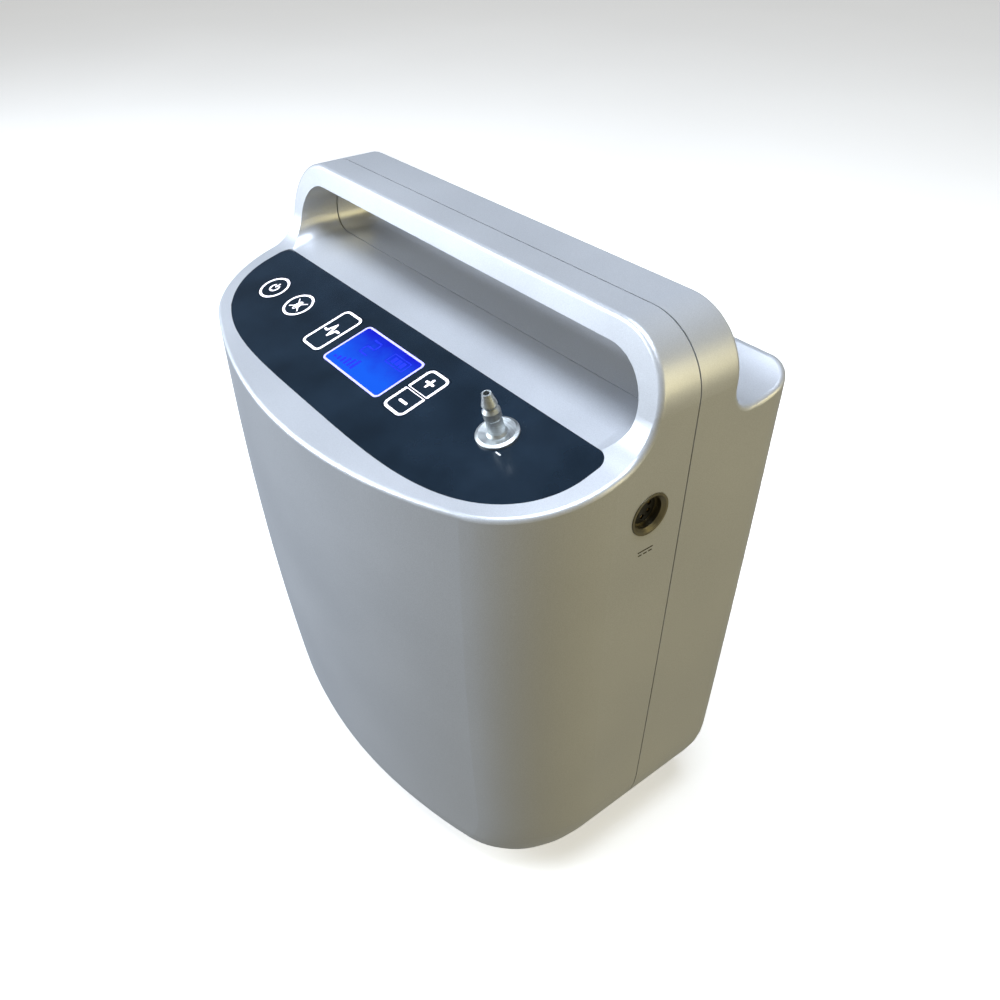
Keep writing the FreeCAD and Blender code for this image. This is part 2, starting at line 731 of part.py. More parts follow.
# ------------------------------------------------------- oxygen outlet
outlet_tall = size("outlet_tall")
barb_profile = [
    (0, -9), (size("outlet_stem"), -9), (size("outlet_stem"), 0),
    (size("outlet_disc"), 0), (size("outlet_disc"), 0.9), (size("outlet_disc") - 1.2, 1.5),
    (4.2, 1.0), (3.3, 2.0), (3.1, 8), (size("outlet_barb"), 8.6), (size("outlet_barb"), 11.6),
    (2.3, 13), (2.3, 14), (3.0, 14.6), (2.1, 18), (1.8, outlet_tall), (0, outlet_tall),
]
barb_wire = Part.makePolygon([V(r, 0, z) for r, z in barb_profile] + [V(0, 0, -9)])
barb = Part.Face(barb_wire).revolve(V(0, 0, 0), V(0, 0, 1), 360)
barb = barb.cut(rod(size("outlet_bore"), (0, 0, -10), (0, 0, outlet_tall + 1)))
barb.Placement = PANEL.multiply(FreeCAD.Placement(V(*outlet_place, 0), FreeCAD.Rotation()))
feature("outlet_barb", barb)
nut = disc_body("outlet_nut", "Sizes.nut_radius", "Sizes.nut_tall", "Sizes.outlet_stem + 0.05")
facing_panel(nut, *outlet_place, size("nut_depth"))

# ------------------------------------------------------------ DC inlet
socket_centre = (size("socket_y"), size("socket_z"))
inner_x = HALF - size("socket_depth")
barrel = rod(size("socket_radius"), (inner_x, *socket_centre), (HALF + 0.4, *socket_centre))
seat_x = HALF - size("socket_recess")
barrel = barrel.cut(rod(size("socket_bore"), (seat_x, *socket_centre), (HALF + 5, *socket_centre)))
barrel = barrel.cut(rod(size("socket_bore") - 0.6, (inner_x + 3, *socket_centre),
                        (seat_x, *socket_centre)))
flare = Part.makeCone(size("socket_bore"), size("socket_radius") - 0.7, size("socket_flare"),
                      V(HALF + 0.6 - size("socket_flare"), *socket_centre), V(1, 0, 0))
feature("dc_inlet_shell", barrel.cut(flare))
insert = rod(size("socket_bore") - 0.7, (inner_x + 3, *socket_centre), (seat_x, *socket_centre))
pins = []
for i in range(6):
    angle = math.radians(60 * i + 30)
    y = socket_centre[0] + size("pin_circle") * math.cos(angle)
    z = socket_centre[1] + size("pin_circle") * math.sin(angle)
    insert = insert.cut(rod(size("pin_hole"), (seat_x - size("pin_deep"), y, z), (HALF, y, z)))
    pins.append(rod(size("pin_round"), (seat_x - size("pin_deep"), y, z), (seat_x - 0.5, y, z)))
feature("dc_inlet_insert", insert)
feature("dc_inlet_pins", Part.makeCompound(pins))


# -------------------------------------------- feet and screws, in groups
def ring_group(label, shape, places):
    """The same piece at several places, as separate solids of one node."""
    copies = []
    for place in places:
        copied = shape.copy()
        copied.Placement = place
        copies.append(copied)
    return feature(label, Part.makeCompound(copies))


foot_places = [FreeCAD.Placement(V(side * size("foot_x"), y, 0), FreeCAD.Rotation())
               for side in (-1, 1) for y in (size("foot_front"), size("foot_rear"))]
foot = Part.makeCylinder(size("foot_radius"), size("foot_height"))
foot = foot.makeFillet(0.8, [foot.Edges[2]])
ring_group("rubber_feet", foot, foot_places)

facing_back = FreeCAD.Rotation(V(0, 0, 1), V(0, 1, 0))
screw_length = REAR - 9 - size("chassis_y") + 4
screw = Part.makeCylinder(size("screw_radius"), screw_length)
head = Part.makeCylinder(size("screw_head"), 2.6, V(0, 0, screw_length))
head = head.cut(Part.makeBox(4, 0.9, 1.4, V(-2, -0.45, screw_length + 1.4)))
head = head.cut(Part.makeBox(0.9, 4, 1.4, V(-0.45, -2, screw_length + 1.4)))
screw = screw.fuse(head)
ring_group("case_screws", screw,
           [FreeCAD.Placement(V(x, REAR - 9 - screw_length, z), facing_back)
            for x, z in screw_places()])

# ------------------------------------------------------------- battery
pack_front = REAR - size("pack_depth")
pack_middle = (size("pack_low") + size("pack_high")) / 2
pack_tall = size("pack_high") - size("pack_low")
pack_shape = back_prism(bay_corners(), pack_front, REAR)
pack_shape = pack_shape.makeFillet(1.2, [e for e in pack_shape.Edges
                                         if abs(e.CenterOfMass.y - REAR) < 1e-6])
skin = size("pack_wall")
hollow = back_prism(rectangle(0, pack_middle, size("pack_half") - skin, pack_tall / 2 - skin, 3),
                    pack_front + skin, REAR - skin - 12)
battery_case = pack_shape.cut(hollow)
finger = back_prism(rectangle(0, size("pack_high") - 10, 26, 8.5, 8), REAR - 8, REAR + 2)
battery_case = battery_case.cut(finger)
latch_z = size("pack_high") - 11
latch_slot = box(-size("latch_half") + 1.5, size("latch_half") - 1.5, REAR - 13.6, REAR - 10.4,
                 latch_z - 6, size("pack_high") + 1)
battery_case = battery_case.cut(latch_slot)
battery_case = battery_case.cut(box(-4, 4, REAR - 11, REAR - 7, latch_z - 6, latch_z + 4.5))
contact_slot = box(44, 68, pack_front - 1, pack_front + skin + 1, 39, 47)
battery_case = battery_case.cut(contact_slot)
feature("battery_case", battery_case)

cell = Part.makeCylinder(size("cell_radius"), size("cell_length"))
cell = cell.makeFillet(0.8, cell.Edges[:1])
cell_places = []
for column in range(8):
    x = (column - 3.5) * size("cell_pitch")
    y = pack_front + skin + size("cell_radius") + 3
    cell_places.append(FreeCAD.Placement(V(x, y, pack_middle - size("cell_length") / 2),
                                         FreeCAD.Rotation()))
ring_group("battery_cells", cell, cell_places)
contact = Part.makeBox(1.2, 4, 6).fuse(Part.makeBox(1.2, 2, 2, V(0, -1.4, 2)))
contact_places = [FreeCAD.Placement(V(46 + 4.2 * i, pack_front + 0.6, 40), FreeCAD.Rotation())
                  for i in range(5)]
ring_group("battery_terminals", contact, contact_places)
latch_tongue = box(-size("latch_half") + 2, size("latch_half") - 2, REAR - 13.2, REAR - 10.8,
                   latch_z - 3, size("pack_high") - 0.4)
lead_in = side_prism([(REAR - 14, size("pack_high") - 2.4, 0), (REAR - 11.2, size("pack_high") + 0.4, 0),
                      (REAR - 14, size("pack_high") + 0.4, 0)], size("latch_half"))
latch_tongue = latch_tongue.cut(lead_in)
latch_stem = box(-3.5, 3.5, REAR - 11, REAR - 7.4, latch_z - 3, latch_z + 1)
latch_button = back_prism(rectangle(0, latch_z - 1, 11, 4, 2), REAR - 7.6, REAR - 4)
feature("battery_latch", latch_tongue.fuse(latch_stem).fuse(latch_button))
socket = plate_body("battery_socket", "Sizes.socket_wide", "Sizes.socket_high",
                    "Sizes.socket_thick", "Sizes.socket_round")
socket.Placement = FreeCAD.Placement(V(), facing_back)
bind_place(socket, x="Sizes.contact_x", z="Sizes.contact_z",
           y="Sizes.case_depth / 2 - Sizes.pack_depth - Sizes.pack_gap - Sizes.socket_thick - 0.4")

# --------------------------------------------------- intake and exhaust
vent_middle = (size("vent_low") + size("vent_high")) / 2
vent_back = REAR - size("vent_depth")


def louvred(side, near, far, grow, slat):
    """A flat grille with level slots between slats."""
    plate = back_prism(vent_corners(side, grow), near, far)
    rows = 7
    for i in range(rows):
        z = vent_middle + (i - (rows - 1) / 2) * 7.4
        slot = back_prism(rectangle(side * size("vent_x"), z, size("vent_half") - 9, slat, slat - 0.1),
                          near - 1, far + 1)
        plate = plate.cut(slot)
    return plate


cover = louvred(-1, REAR - size("cover_thick"), REAR, -0.4, 2.1)
pull = rod(9, (-size("vent_x"), REAR - 1.6, size("vent_low") + 2),
           (-size("vent_x"), REAR + 1, size("vent_low") + 2))
feature("intake_cover", cover.cut(pull))
foam_front = REAR - size("cover_thick") - 0.6 - size("foam_thick")
feature("intake_filter", back_prism(vent_corners(-1, -0.8), foam_front,
                                    foam_front + size("foam_thick")))
feature("exhaust_grille", louvred(1, REAR - 3.4, REAR, -0.15, 2.3))

muffler_half = 30
muffler = box(-size("vent_x") - muffler_half, -size("vent_x") + muffler_half, 34,
              vent_back - size("bay_wall"), vent_middle - 24, vent_middle + 24)
muffler = muffler.makeFillet(4, [muffler.Edges[i] for i in (0, 2, 4, 6)])
muffler_inside = box(-size("vent_x") - 27.6, -size("vent_x") + 27.6, 36.4, 80,
                     vent_middle - 21.6, vent_middle + 21.6)
feature("intake_muffler", muffler.cut(muffler_inside))

# ----------------------------------------------------------- cooling fan
fan_x = size("vent_x")
fan_half = size("fan_size") / 2
fan_front = size("fan_y")
fan_back = fan_front + size("fan_thick")
fan_frame = back_prism(rectangle(fan_x, vent_middle, fan_half, fan_half, 5), fan_front, fan_back)
fan_frame = fan_frame.cut(rod(size("fan_bore"), (fan_x, fan_front - 1, vent_middle),
                              (fan_x, fan_back + 1, vent_middle)))
motor_seat = rod(size("fan_hub"), (fan_x, fan_front, vent_middle), (fan_x, fan_front + 3, vent_middle))
fan_frame = fan_frame.fuse(motor_seat)
for i in range(4):
    arm = box(0, size("fan_bore") + 1.5, fan_front, fan_front + 2.4, -1.6, 1.6)
    arm.rotate(V(0, 0, 0), V(0, 1, 0), 90 * i + 45)
    arm.translate(V(fan_x, 0, vent_middle))
    fan_frame = fan_frame.fuse(arm)
fan_pin = rod(1.5, (fan_x, fan_front + 3, vent_middle), (fan_x, fan_front + 12, vent_middle))
feature("fan_housing", fan_frame.fuse(fan_pin))
hub = rod(size("fan_hub"), (fan_x, fan_front + 3.5, vent_middle), (fan_x, fan_back - 1, vent_middle))
hub = hub.cut(rod(1.5 + size("bearing_gap"), (fan_x, fan_front, vent_middle),
                  (fan_x, fan_front + 12.5, vent_middle)))
blade = box(size("fan_hub") - 1, size("fan_bore") - 1.2, -7, 7, -0.8, 0.8)
blade.rotate(V(0, 0, 0), V(1, 0, 0), 38)
blade = blade.common(rod(size("fan_bore") - 1.2, (0, -12, 0), (0, 12, 0)))
for i in range(7):
    one = blade.copy()
    one.rotate(V(0, 0, 0), V(0, 1, 0), 360 / 7 * i)
    one.translate(V(fan_x, fan_front + 11, vent_middle))
    hub = hub.fuse(one)
feature("fan_rotor", hub)

# ------------------------------------------------------- scroll compressor
pump_x, pump_y = size("pump_x"), size("pump_y")
pump_base = size("pump_base")
pump_r = size("pump_radius")
throw = size("crank_throw")
plate_low = 76
wrap_low = plate_low + 4
wrap_high = wrap_low + size("wrap_tall")


def pump_rod(radius, low, high, dx=0):
    return rod(radius, (pump_x + dx, pump_y, low), (pump_x + dx, pump_y, high))


def scroll_wrap(low, high):
    """Spiral wall made of half circles whose centres alternate about the axis."""
    pitch = size("wrap_pitch")
    half_wall = size("wrap_thick") / 2
    inner, outer = [], []
    for turn in (1, 2, 3):
        centre = pitch / 4 * (-1 if turn % 2 == 0 else 1)
        radius = size("wrap_start") + turn * pitch / 2
        flip = 1 if turn % 2 == 0 else -1
        for wires, r in ((inner, radius - half_wall), (outer, radius + half_wall)):
            wires.append(Part.Arc(V(centre + flip * r, 0, low), V(centre, flip * r, low),
                                  V(centre - flip * r, 0, low)).toShape())
    caps = [Part.makeLine(inner[0].valueAt(inner[0].FirstParameter),
                          outer[0].valueAt(outer[0].FirstParameter)),
            Part.makeLine(inner[-1].valueAt(inner[-1].LastParameter),
                          outer[-1].valueAt(outer[-1].LastParameter))]
    edges = Part.__sortEdges__(inner + outer + caps)
    return Part.Face(Part.Wire(edges)).extrude(V(0, 0, high - low))


can = pump_rod(pump_r, pump_base + 3, wrap_high + 0.3)
can = can.cut(pump_rod(pump_r - size("pump_wall"), pump_base + 6, wrap_high + 2))
foot_plate = box(pump_x - 31, pump_x + 31, pump_y - 31, pump_y + 31, pump_base, pump_base + 3.5)
bearing = size("shaft_radius") + size("bearing_gap")
can = can.fuse(foot_plate).fuse(pump_rod(8, pump_base + 3, pump_base + 8))
can = can.cut(pump_rod(bearing, pump_base + 4, pump_base + 9))
feature("compressor_housing", can)

stator = pump_rod(pump_r - size("pump_wall"), size("motor_low"), size("motor_high"))
stator = stator.cut(pump_rod(size("rotor_radius") + 0.5, 0, 120))
for i in range(12):
    angle = math.radians(30 * i)
    x = pump_x + 24 * math.cos(angle)
    y = pump_y + 24 * math.sin(angle)
    stator = stator.cut(rod(4.2, (x, y, 0), (x, y, 120)))
stator = stator.fuse(pump_rod(pump_r - size("pump_wall"), size("motor_low"), size("motor_low") + 0.5)
                     .cut(pump_rod(pump_r - size("pump_wall") - 3, 0, 120)))
feature("motor_stator", stator)
winding = []
for i in range(12):
    angle = math.radians(30 * i)
    x = pump_x + 24 * math.cos(angle)
    y = pump_y + 24 * math.sin(angle)
    winding.append(rod(3.9, (x, y, size("motor_low") + 1), (x, y, size("motor_high") + 3)))
feature("motor_windings", Part.makeCompound(winding))

shaft = pump_rod(size("shaft_radius"), pump_base + 5, plate_low - 5)
shaft = shaft.fuse(pump_rod(size("pin_radius"), plate_low - 6, plate_low - 0.5, throw))
counterweight = pump_rod(22, 60, 66).cut(box(pump_x - 3, pump_x + 40, pump_y - 40, pump_y + 40,
                                             50, 80))
shaft = shaft.fuse(pump_rod(size("pin_radius") + throw + 0.5, plate_low - 6, plate_low - 5))
feature("crankshaft", shaft.fuse(counterweight))
rotor = disc_body("motor_rotor", "Sizes.rotor_radius", "Sizes.motor_high - Sizes.motor_low - 2",
                  "Sizes.shaft_radius")
bind_place(rotor, x="Sizes.pump_x", y="Sizes.pump_y", z="Sizes.motor_low + 2")
upper_bearing = disc_body("main_bearing", "Sizes.pump_radius - Sizes.pump_wall",
                          "Sizes.bearing_thick", "Sizes.shaft_radius + Sizes.bearing_gap")
bind_place(upper_bearing, x="Sizes.pump_x", y="Sizes.pump_y", z="Sizes.bearing_low")

orbiting = pump_rod(29.8, plate_low, wrap_low, throw)
orbiting = orbiting.fuse(pump_rod(6, plate_low - 4.5, plate_low, throw))
orbiting = orbiting.cut(pump_rod(size("pin_radius") + size("bearing_gap"), 60, plate_low - 0.2, throw))
orbit_wrap = scroll_wrap(wrap_low, wrap_high - 0.3)
orbit_wrap.rotate(V(0, 0, 0), V(0, 0, 1), 180)
orbit_wrap.translate(V(pump_x + throw, pump_y, 0))
feature("orbiting_scroll", orbiting.fuse(orbit_wrap))
fixed = pump_rod(pump_r, wrap_high + 0.3, wrap_high + 5)
fixed_wrap = scroll_wrap(wrap_low + 0.3, wrap_high + 1)
fixed_wrap.translate(V(pump_x, pump_y, 0))
fixed = fixed.fuse(fixed_wrap)
for i in range(8):
    angle = math.radians(45 * i)
    fin = box(10, pump_r - 2, -1, 1, wrap_high + 4, wrap_high + 9)
    fin.rotate(V(0, 0, 0), V(0, 0, 1), 45 * i + 22.5)
    fin.translate(V(pump_x, pump_y, 0))
    fixed = fixed.fuse(fin)
port = pump_rod(6, wrap_high + 4, wrap_high + 12)
fixed = fixed.fuse(port).cut(pump_rod(size("tube_radius"), wrap_high + 5.5, wrap_high + 20))
feature("fixed_scroll", fixed)

isolator = Part.makeCylinder(6, 8)
isolator = isolator.cut(Part.makeTorus(7.5, 2.6, V(0, 0, 4)))
ring_group("compressor_mounts", isolator,
           [FreeCAD.Placement(V(x, y, pump_base - 8), FreeCAD.Rotation()) for x, y in pump_feet()])

# -------------------------------------------- sieve beds and product tank
def canister(label, x, y, radius, low, high, ribs):
    """An upright canister with thicker end caps."""
    cap = size("cap_thick")
    solid = rod(radius - 1, (x, y, low), (x, y, high))
    for start in (low, high - cap):
        solid = solid.fuse(rod(radius, (x, y, start), (x, y, start + cap)))
    for i in range(ribs):
        z = low + (high - low) * (i + 1) / (ribs + 1)
        solid = solid.fuse(rod(radius - 0.4, (x, y, z - 1), (x, y, z + 1)))
    return feature(label, solid)


canister("sieve_bed_inner", size("bed_x"), size("bed_y"), size("bed_radius"),
         size("bed_low"), size("bed_high"), 0)
canister("sieve_bed_outer", size("bed_two_x"), size("bed_two_y"), size("bed_radius"),
         size("bed_low"), size("bed_high"), 0)
canister("product_tank", size("tank_x"), size("tank_y"), size("tank_radius"),
         size("tank_low"), size("tank_high"), 2)

manifold_low = size("manifold_low")
manifold_high = manifold_low + size("manifold_tall")
manifold = box(14, 112, -44, -10, manifold_low, manifold_high)
manifold = manifold.makeFillet(4, [manifold.Edges[i] for i in (0, 2, 4, 6)])
for x, y in ((size("bed_x"), size("bed_y")), (size("bed_two_x"), size("bed_two_y"))):
    manifold = manifold.fuse(rod(6, (x, y, size("bed_high")), (x, y, manifold_low)))
feature("valve_manifold", manifold)
valve = Part.makeCylinder(size("valve_radius"), size("valve_length"))
valve = valve.fuse(Part.makeCylinder(3, 4, V(0, 0, size("valve_length"))))
valve_z = manifold_low + size("manifold_tall") / 2
ring_group("solenoid_valves", valve,
           [FreeCAD.Placement(V(x, -10, valve_z), FreeCAD.Rotation(V(0, 0, 1), V(0, 1, 0)))
            for x in (22, 43, 64, 85)])

# --------------------------------------------------- chassis and boards
chassis_y = size("chassis_y")
chassis_back = chassis_y + size("chassis_thick")
chassis_corners = [
    (-size("chassis_half"), size("chassis_low"), 46), (size("chassis_half"), size("chassis_low"), 46),
    (size("chassis_half"), size("chassis_high"), 5), (-size("chassis_half"), size("chassis_high"), 5),
]
chassis = back_prism(chassis_corners, chassis_y, chassis_back)
for x, z, half_x, half_z in ((-50, 172, 34, 34), (50, 186, 34, 22), (-42, 60, 30, 24), (42, 66, 30, 24)):
    chassis = chassis.cut(back_prism(rectangle(x, z, half_x, half_z, 8), 0, 40))
for x, z in chassis_screws():
    chassis = chassis.cut(rod(1.8, (x, 0, z), (x, 60, z)))
for x, z in screw_places():
    chassis = chassis.cut(rod(size("screw_radius") + 0.1, (x, 0, z), (x, 60, z)))
feature("chassis_plate", chassis)
small_screw = Part.makeCylinder(1.6, 12).fuse(Part.makeCylinder(3.2, 2, V(0, 0, 12)))
small_screw = small_screw.cut(Part.makeCylinder(1.3, 1.2, V(0, 0, 12.9)))
ring_group("chassis_screws", small_screw,
           [FreeCAD.Placement(V(x, chassis_back - 12, z), facing_back)
            for x, z in chassis_screws()])

main_x, main_z = size("main_x"), size("main_z")
main_board = plate_body("main_board", "Sizes.main_wide", "Sizes.main_high",
                        "Sizes.board_thick", "Sizes.board_corner")
main_board.Placement = FreeCAD.Placement(V(), facing_back)
bind_place(main_board, x="Sizes.main_x", z="Sizes.main_z",
           y="Sizes.chassis_y + Sizes.chassis_thick + Sizes.standoff")
standoff = Part.makeCylinder(3, size("standoff"))
board_y = chassis_back + size("standoff") + size("board_thick")
ring_group("board_standoffs", standoff,
           [FreeCAD.Placement(V(main_x + dx, chassis_back, main_z + dz), facing_back)
            for dx in (-61, 61) for dz in (-20, 20)])
components = [
    box(-20, 6, board_y, board_y + 3, 128, 150), box(16, 34, board_y, board_y + 2, 130, 148),
    box(44, 74, board_y, board_y + 12, 146, 158), box(-38, -30, board_y, board_y + 9, 124, 152),
    box(60, 82, board_y, board_y + 9, 120, 132),
]
for x in (46, 56):
    components.append(rod(4.5, (x, board_y, 124), (x, board_y + 14, 124)))
feature("board_components", Part.makeCompound(components))
sensor = plate_body("oxygen_sensor", "Sizes.sensor_wide", "Sizes.sensor_high",
                    "Sizes.sensor_thick", "Sizes.board_corner")
sensor.Placement = FreeCAD.Placement(V(), facing_back)
bind_place(sensor, x="Sizes.sensor_x", y="Sizes.chassis_y + Sizes.chassis_thick",
           z="Sizes.sensor_z")
silencer = disc_body("exhaust_muffler", "Sizes.silencer_radius", "Sizes.silencer_length")
silencer.Placement = FreeCAD.Placement(V(), FreeCAD.Rotation(V(0, 0, 1), V(1, 0, 0)))
bind_place(silencer, x="Sizes.silencer_x", y="Sizes.silencer_y", z="Sizes.silencer_z")
buzzer = disc_body("alarm_buzzer", "Sizes.buzzer_radius", "Sizes.buzzer_tall")
facing_panel(buzzer, size("buzzer_x"), size("buzzer_v"), size("buzzer_tall") - board_low)

# ----------------------------------------------------------------- tubing
tube_r = size("tube_radius")
feature("pump_tube", tube([(pump_x, pump_y, wrap_high + 5.5), (pump_x, pump_y, wrap_high + 17),
                           (-12, pump_y, wrap_high + 17), (-12, pump_y - 8, valve_z),
                           (14, pump_y - 8, valve_z)], tube_r, 5))
feature("bed_tube", tube([(size("bed_x"), size("bed_y"), size("bed_low")),
                          (size("bed_x"), size("bed_y"), 22),
                          (size("bed_two_x"), size("bed_two_y"), 22),
                          (size("bed_two_x"), size("bed_two_y"), size("bed_low"))], tube_r, 6))
outlet_end = on_panel(*outlet_place, -9)
feature("outlet_tube", tube([(size("tank_x"), size("tank_y"), size("tank_high")),
                             (size("tank_x"), size("tank_y"), 214),
                             (-24, size("tank_y"), 214), (4, 4, 226), (60, 4, 226),
                             (outlet_end.x, outlet_end.y + 1, 228),
                             tuple(outlet_end)], 2.4, 4))


# ------------------------------------------------------- check and write
doc.recompute()
for item in doc.Objects:
    if "Invalid" in item.State or "Error" in item.State:
        raise RuntimeError(f"{item.Label} failed: {item.State}")
for item in nodes:
    if item.Shape.isNull() or not item.Shape.isValid():
        raise RuntimeError(f"{item.Label} has no valid shape")
os.makedirs("parts", exist_ok=True)
for item in nodes:
    item.Shape.exportStep(f"parts/{item.Label}.step")
print(len(nodes), "nodes written")
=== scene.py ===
"""Looks of a portable oxygen concentrator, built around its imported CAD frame.

Row frame in metres: +Z up, +X to the right of a person facing the front, +Y to the back.
Every CAD piece keeps its shape and gets a material. The signs on the keys, the rim and the
segments of the display, the dash at the outlet and the sign under the inlet are thin raised
pieces of their own.
"""

import json
import math

import bmesh
import bpy
from mathutils import Matrix, Vector


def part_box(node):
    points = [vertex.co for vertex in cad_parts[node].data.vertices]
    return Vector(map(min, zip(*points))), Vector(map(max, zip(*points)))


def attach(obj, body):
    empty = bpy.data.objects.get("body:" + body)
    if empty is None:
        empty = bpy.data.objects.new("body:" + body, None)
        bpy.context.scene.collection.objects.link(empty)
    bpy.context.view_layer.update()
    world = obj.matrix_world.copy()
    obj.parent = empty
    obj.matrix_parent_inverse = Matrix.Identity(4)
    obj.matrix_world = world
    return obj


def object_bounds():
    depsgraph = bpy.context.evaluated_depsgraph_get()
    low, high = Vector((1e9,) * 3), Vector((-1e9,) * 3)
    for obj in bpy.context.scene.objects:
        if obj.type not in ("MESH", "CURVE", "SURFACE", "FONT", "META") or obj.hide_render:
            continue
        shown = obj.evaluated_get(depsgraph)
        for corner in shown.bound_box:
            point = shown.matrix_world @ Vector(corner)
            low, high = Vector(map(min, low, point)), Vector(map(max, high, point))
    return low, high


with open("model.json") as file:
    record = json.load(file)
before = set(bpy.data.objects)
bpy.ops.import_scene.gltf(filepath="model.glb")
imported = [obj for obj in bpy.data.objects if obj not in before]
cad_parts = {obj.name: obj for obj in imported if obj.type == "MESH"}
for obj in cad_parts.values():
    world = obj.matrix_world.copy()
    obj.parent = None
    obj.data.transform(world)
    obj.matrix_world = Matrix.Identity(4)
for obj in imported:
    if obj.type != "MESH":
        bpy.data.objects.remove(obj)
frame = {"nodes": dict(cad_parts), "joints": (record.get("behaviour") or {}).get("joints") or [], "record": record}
cad_low, cad_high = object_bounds()

MM = 0.001
SLOT_OF = {part["node"]: part["material_slot"] for part in frame["record"]["subparts"]}


# ------------------------------------------------------------- node helpers
def start_material(name):
    """A new material with its Principled shader and its tree."""
    material = bpy.data.materials.new(name)
    material.use_nodes = True
    return material, material.node_tree, material.node_tree.nodes["Principled BSDF"]


def coordinates(tree, scale):
    """Object coordinates, stretched per axis."""
    source = tree.nodes.new("ShaderNodeTexCoord")
    mapping = tree.nodes.new("ShaderNodeMapping")
    mapping.inputs["Scale"].default_value = scale
    tree.links.new(source.outputs["Object"], mapping.inputs["Vector"])
    return mapping.outputs["Vector"]


def noise(tree, size, detail=3.0, stretch=(1, 1, 1), kind="ShaderNodeTexNoise"):
    """A noise whose patches are about size metres across."""
    texture = tree.nodes.new(kind)
    texture.inputs["Scale"].default_value = 1 / size
    if kind == "ShaderNodeTexNoise":
        texture.inputs["Detail"].default_value = detail
    tree.links.new(coordinates(tree, stretch), texture.inputs["Vector"])
    return texture.outputs["Fac" if kind == "ShaderNodeTexNoise" else "Distance"]


def spread(tree, value, low, high, at=(0.3, 0.7)):
    """Map a texture value to a range."""
    node = tree.nodes.new("ShaderNodeMapRange")
    node.inputs["From Min"].default_value = at[0]
    node.inputs["From Max"].default_value = at[1]
    node.inputs["To Min"].default_value = low
    node.inputs["To Max"].default_value = high
    tree.links.new(value, node.inputs["Value"])
    return node.outputs["Result"]


def blend_colours(tree, value, dark, light, at=(0.3, 0.7)):
    """A colour between two, by a texture value."""
    ramp = tree.nodes.new("ShaderNodeValToRGB")
    ramp.color_ramp.elements[0].position = at[0]
    ramp.color_ramp.elements[1].position = at[1]
    ramp.color_ramp.elements[0].color = (*dark, 1)
    ramp.color_ramp.elements[1].color = (*light, 1)
    tree.links.new(value, ramp.inputs["Fac"])
    return ramp.outputs["Color"]


def add(tree, first, second, share):
    """First plus a share of second."""
    node = tree.nodes.new("ShaderNodeMath")
    node.operation = "MULTIPLY_ADD"
    tree.links.new(second, node.inputs[0])
    node.inputs[1].default_value = share
    tree.links.new(first, node.inputs[2])
    return node.outputs[0]


def bump(tree, shader, height, strength, distance):
    """Small relief from a texture value; distance is its full height."""
    node = tree.nodes.new("ShaderNodeBump")
    node.inputs["Strength"].default_value = strength
    node.inputs["Distance"].default_value = distance
    tree.links.new(height, node.inputs["Height"])
    tree.links.new(node.outputs["Normal"], shader.inputs["Normal"])


def tinted(colour, factor):
    """A colour made darker or lighter."""
    return tuple(min(1.0, c * factor) for c in colour)


# ---------------------------------------------------------------- materials
def satin_paint(name, colour):
    """Pearl silver paint on moulded plastic: fine flake, soft cloudiness, light orange peel."""
    material, tree, shader = start_material(name)
    flake = noise(tree, 0.35 * MM, 2.0)
    cloud = noise(tree, 60 * MM, 4.0)
    mixed = add(tree, flake, cloud, 0.35)
    tree.links.new(blend_colours(tree, mixed, tinted(colour, 0.9), tinted(colour, 1.08),
                                 (0.45, 0.95)), shader.inputs["Base Color"])
    tree.links.new(spread(tree, cloud, 0.34, 0.44), shader.inputs["Roughness"])
    shader.inputs["Metallic"].default_value = 0.45
    shader.inputs["Coat Weight"].default_value = 0.25
    shader.inputs["Coat Roughness"].default_value = 0.3
    peel = add(tree, flake, noise(tree, 1.6 * MM, 2.0), 1.4)
    bump(tree, shader, peel, 0.18, 0.06 * MM)
    return material


def gloss_panel(name, colour):
    """Back-painted glossy overlay with faint dust and finger haze."""
    material, tree, shader = start_material(name)
    haze = noise(tree, 24 * MM, 5.0)
    dust = noise(tree, 0.5 * MM, 1.0)
    tree.links.new(blend_colours(tree, haze, tinted(colour, 0.75), tinted(colour, 1.25)),
                   shader.inputs["Base Color"])
    tree.links.new(add(tree, spread(tree, haze, 0.12, 0.24), dust, 0.05),
                   shader.inputs["Roughness"])
    shader.inputs["Specular IOR Level"].default_value = 0.35
    shader.inputs["Coat Weight"].default_value = 0.15
    shader.inputs["Coat Roughness"].default_value = 0.08
    bump(tree, shader, dust, 0.05, 0.02 * MM)
    return material


def moulded(name, colour, rough=0.5, grain=0.6 * MM, relief=0.12):
    """Moulded plastic with a spark-eroded grain."""
    material, tree, shader = start_material(name)
    fine = noise(tree, grain, 3.0)
    broad = noise(tree, 35 * MM, 3.0)
    tree.links.new(blend_colours(tree, add(tree, fine, broad, 0.5), tinted(colour, 0.85),
                                 tinted(colour, 1.12), (0.5, 1.0)), shader.inputs["Base Color"])
    tree.links.new(spread(tree, broad, rough - 0.06, rough + 0.08), shader.inputs["Roughness"])
    bump(tree, shader, fine, relief, 0.08 * MM)
    return material


def rubber(name, colour):
    """Matt rubber with a dusty bloom."""
    material, tree, shader = start_material(name)
    bloom = noise(tree, 6 * MM, 5.0)
    fine = noise(tree, 0.4 * MM, 2.0)
    tree.links.new(blend_colours(tree, bloom, colour, tinted(colour, 1.6)),
                   shader.inputs["Base Color"])
    tree.links.new(spread(tree, bloom, 0.7, 0.88), shader.inputs["Roughness"])
    bump(tree, shader, fine, 0.2, 0.05 * MM)
    return material


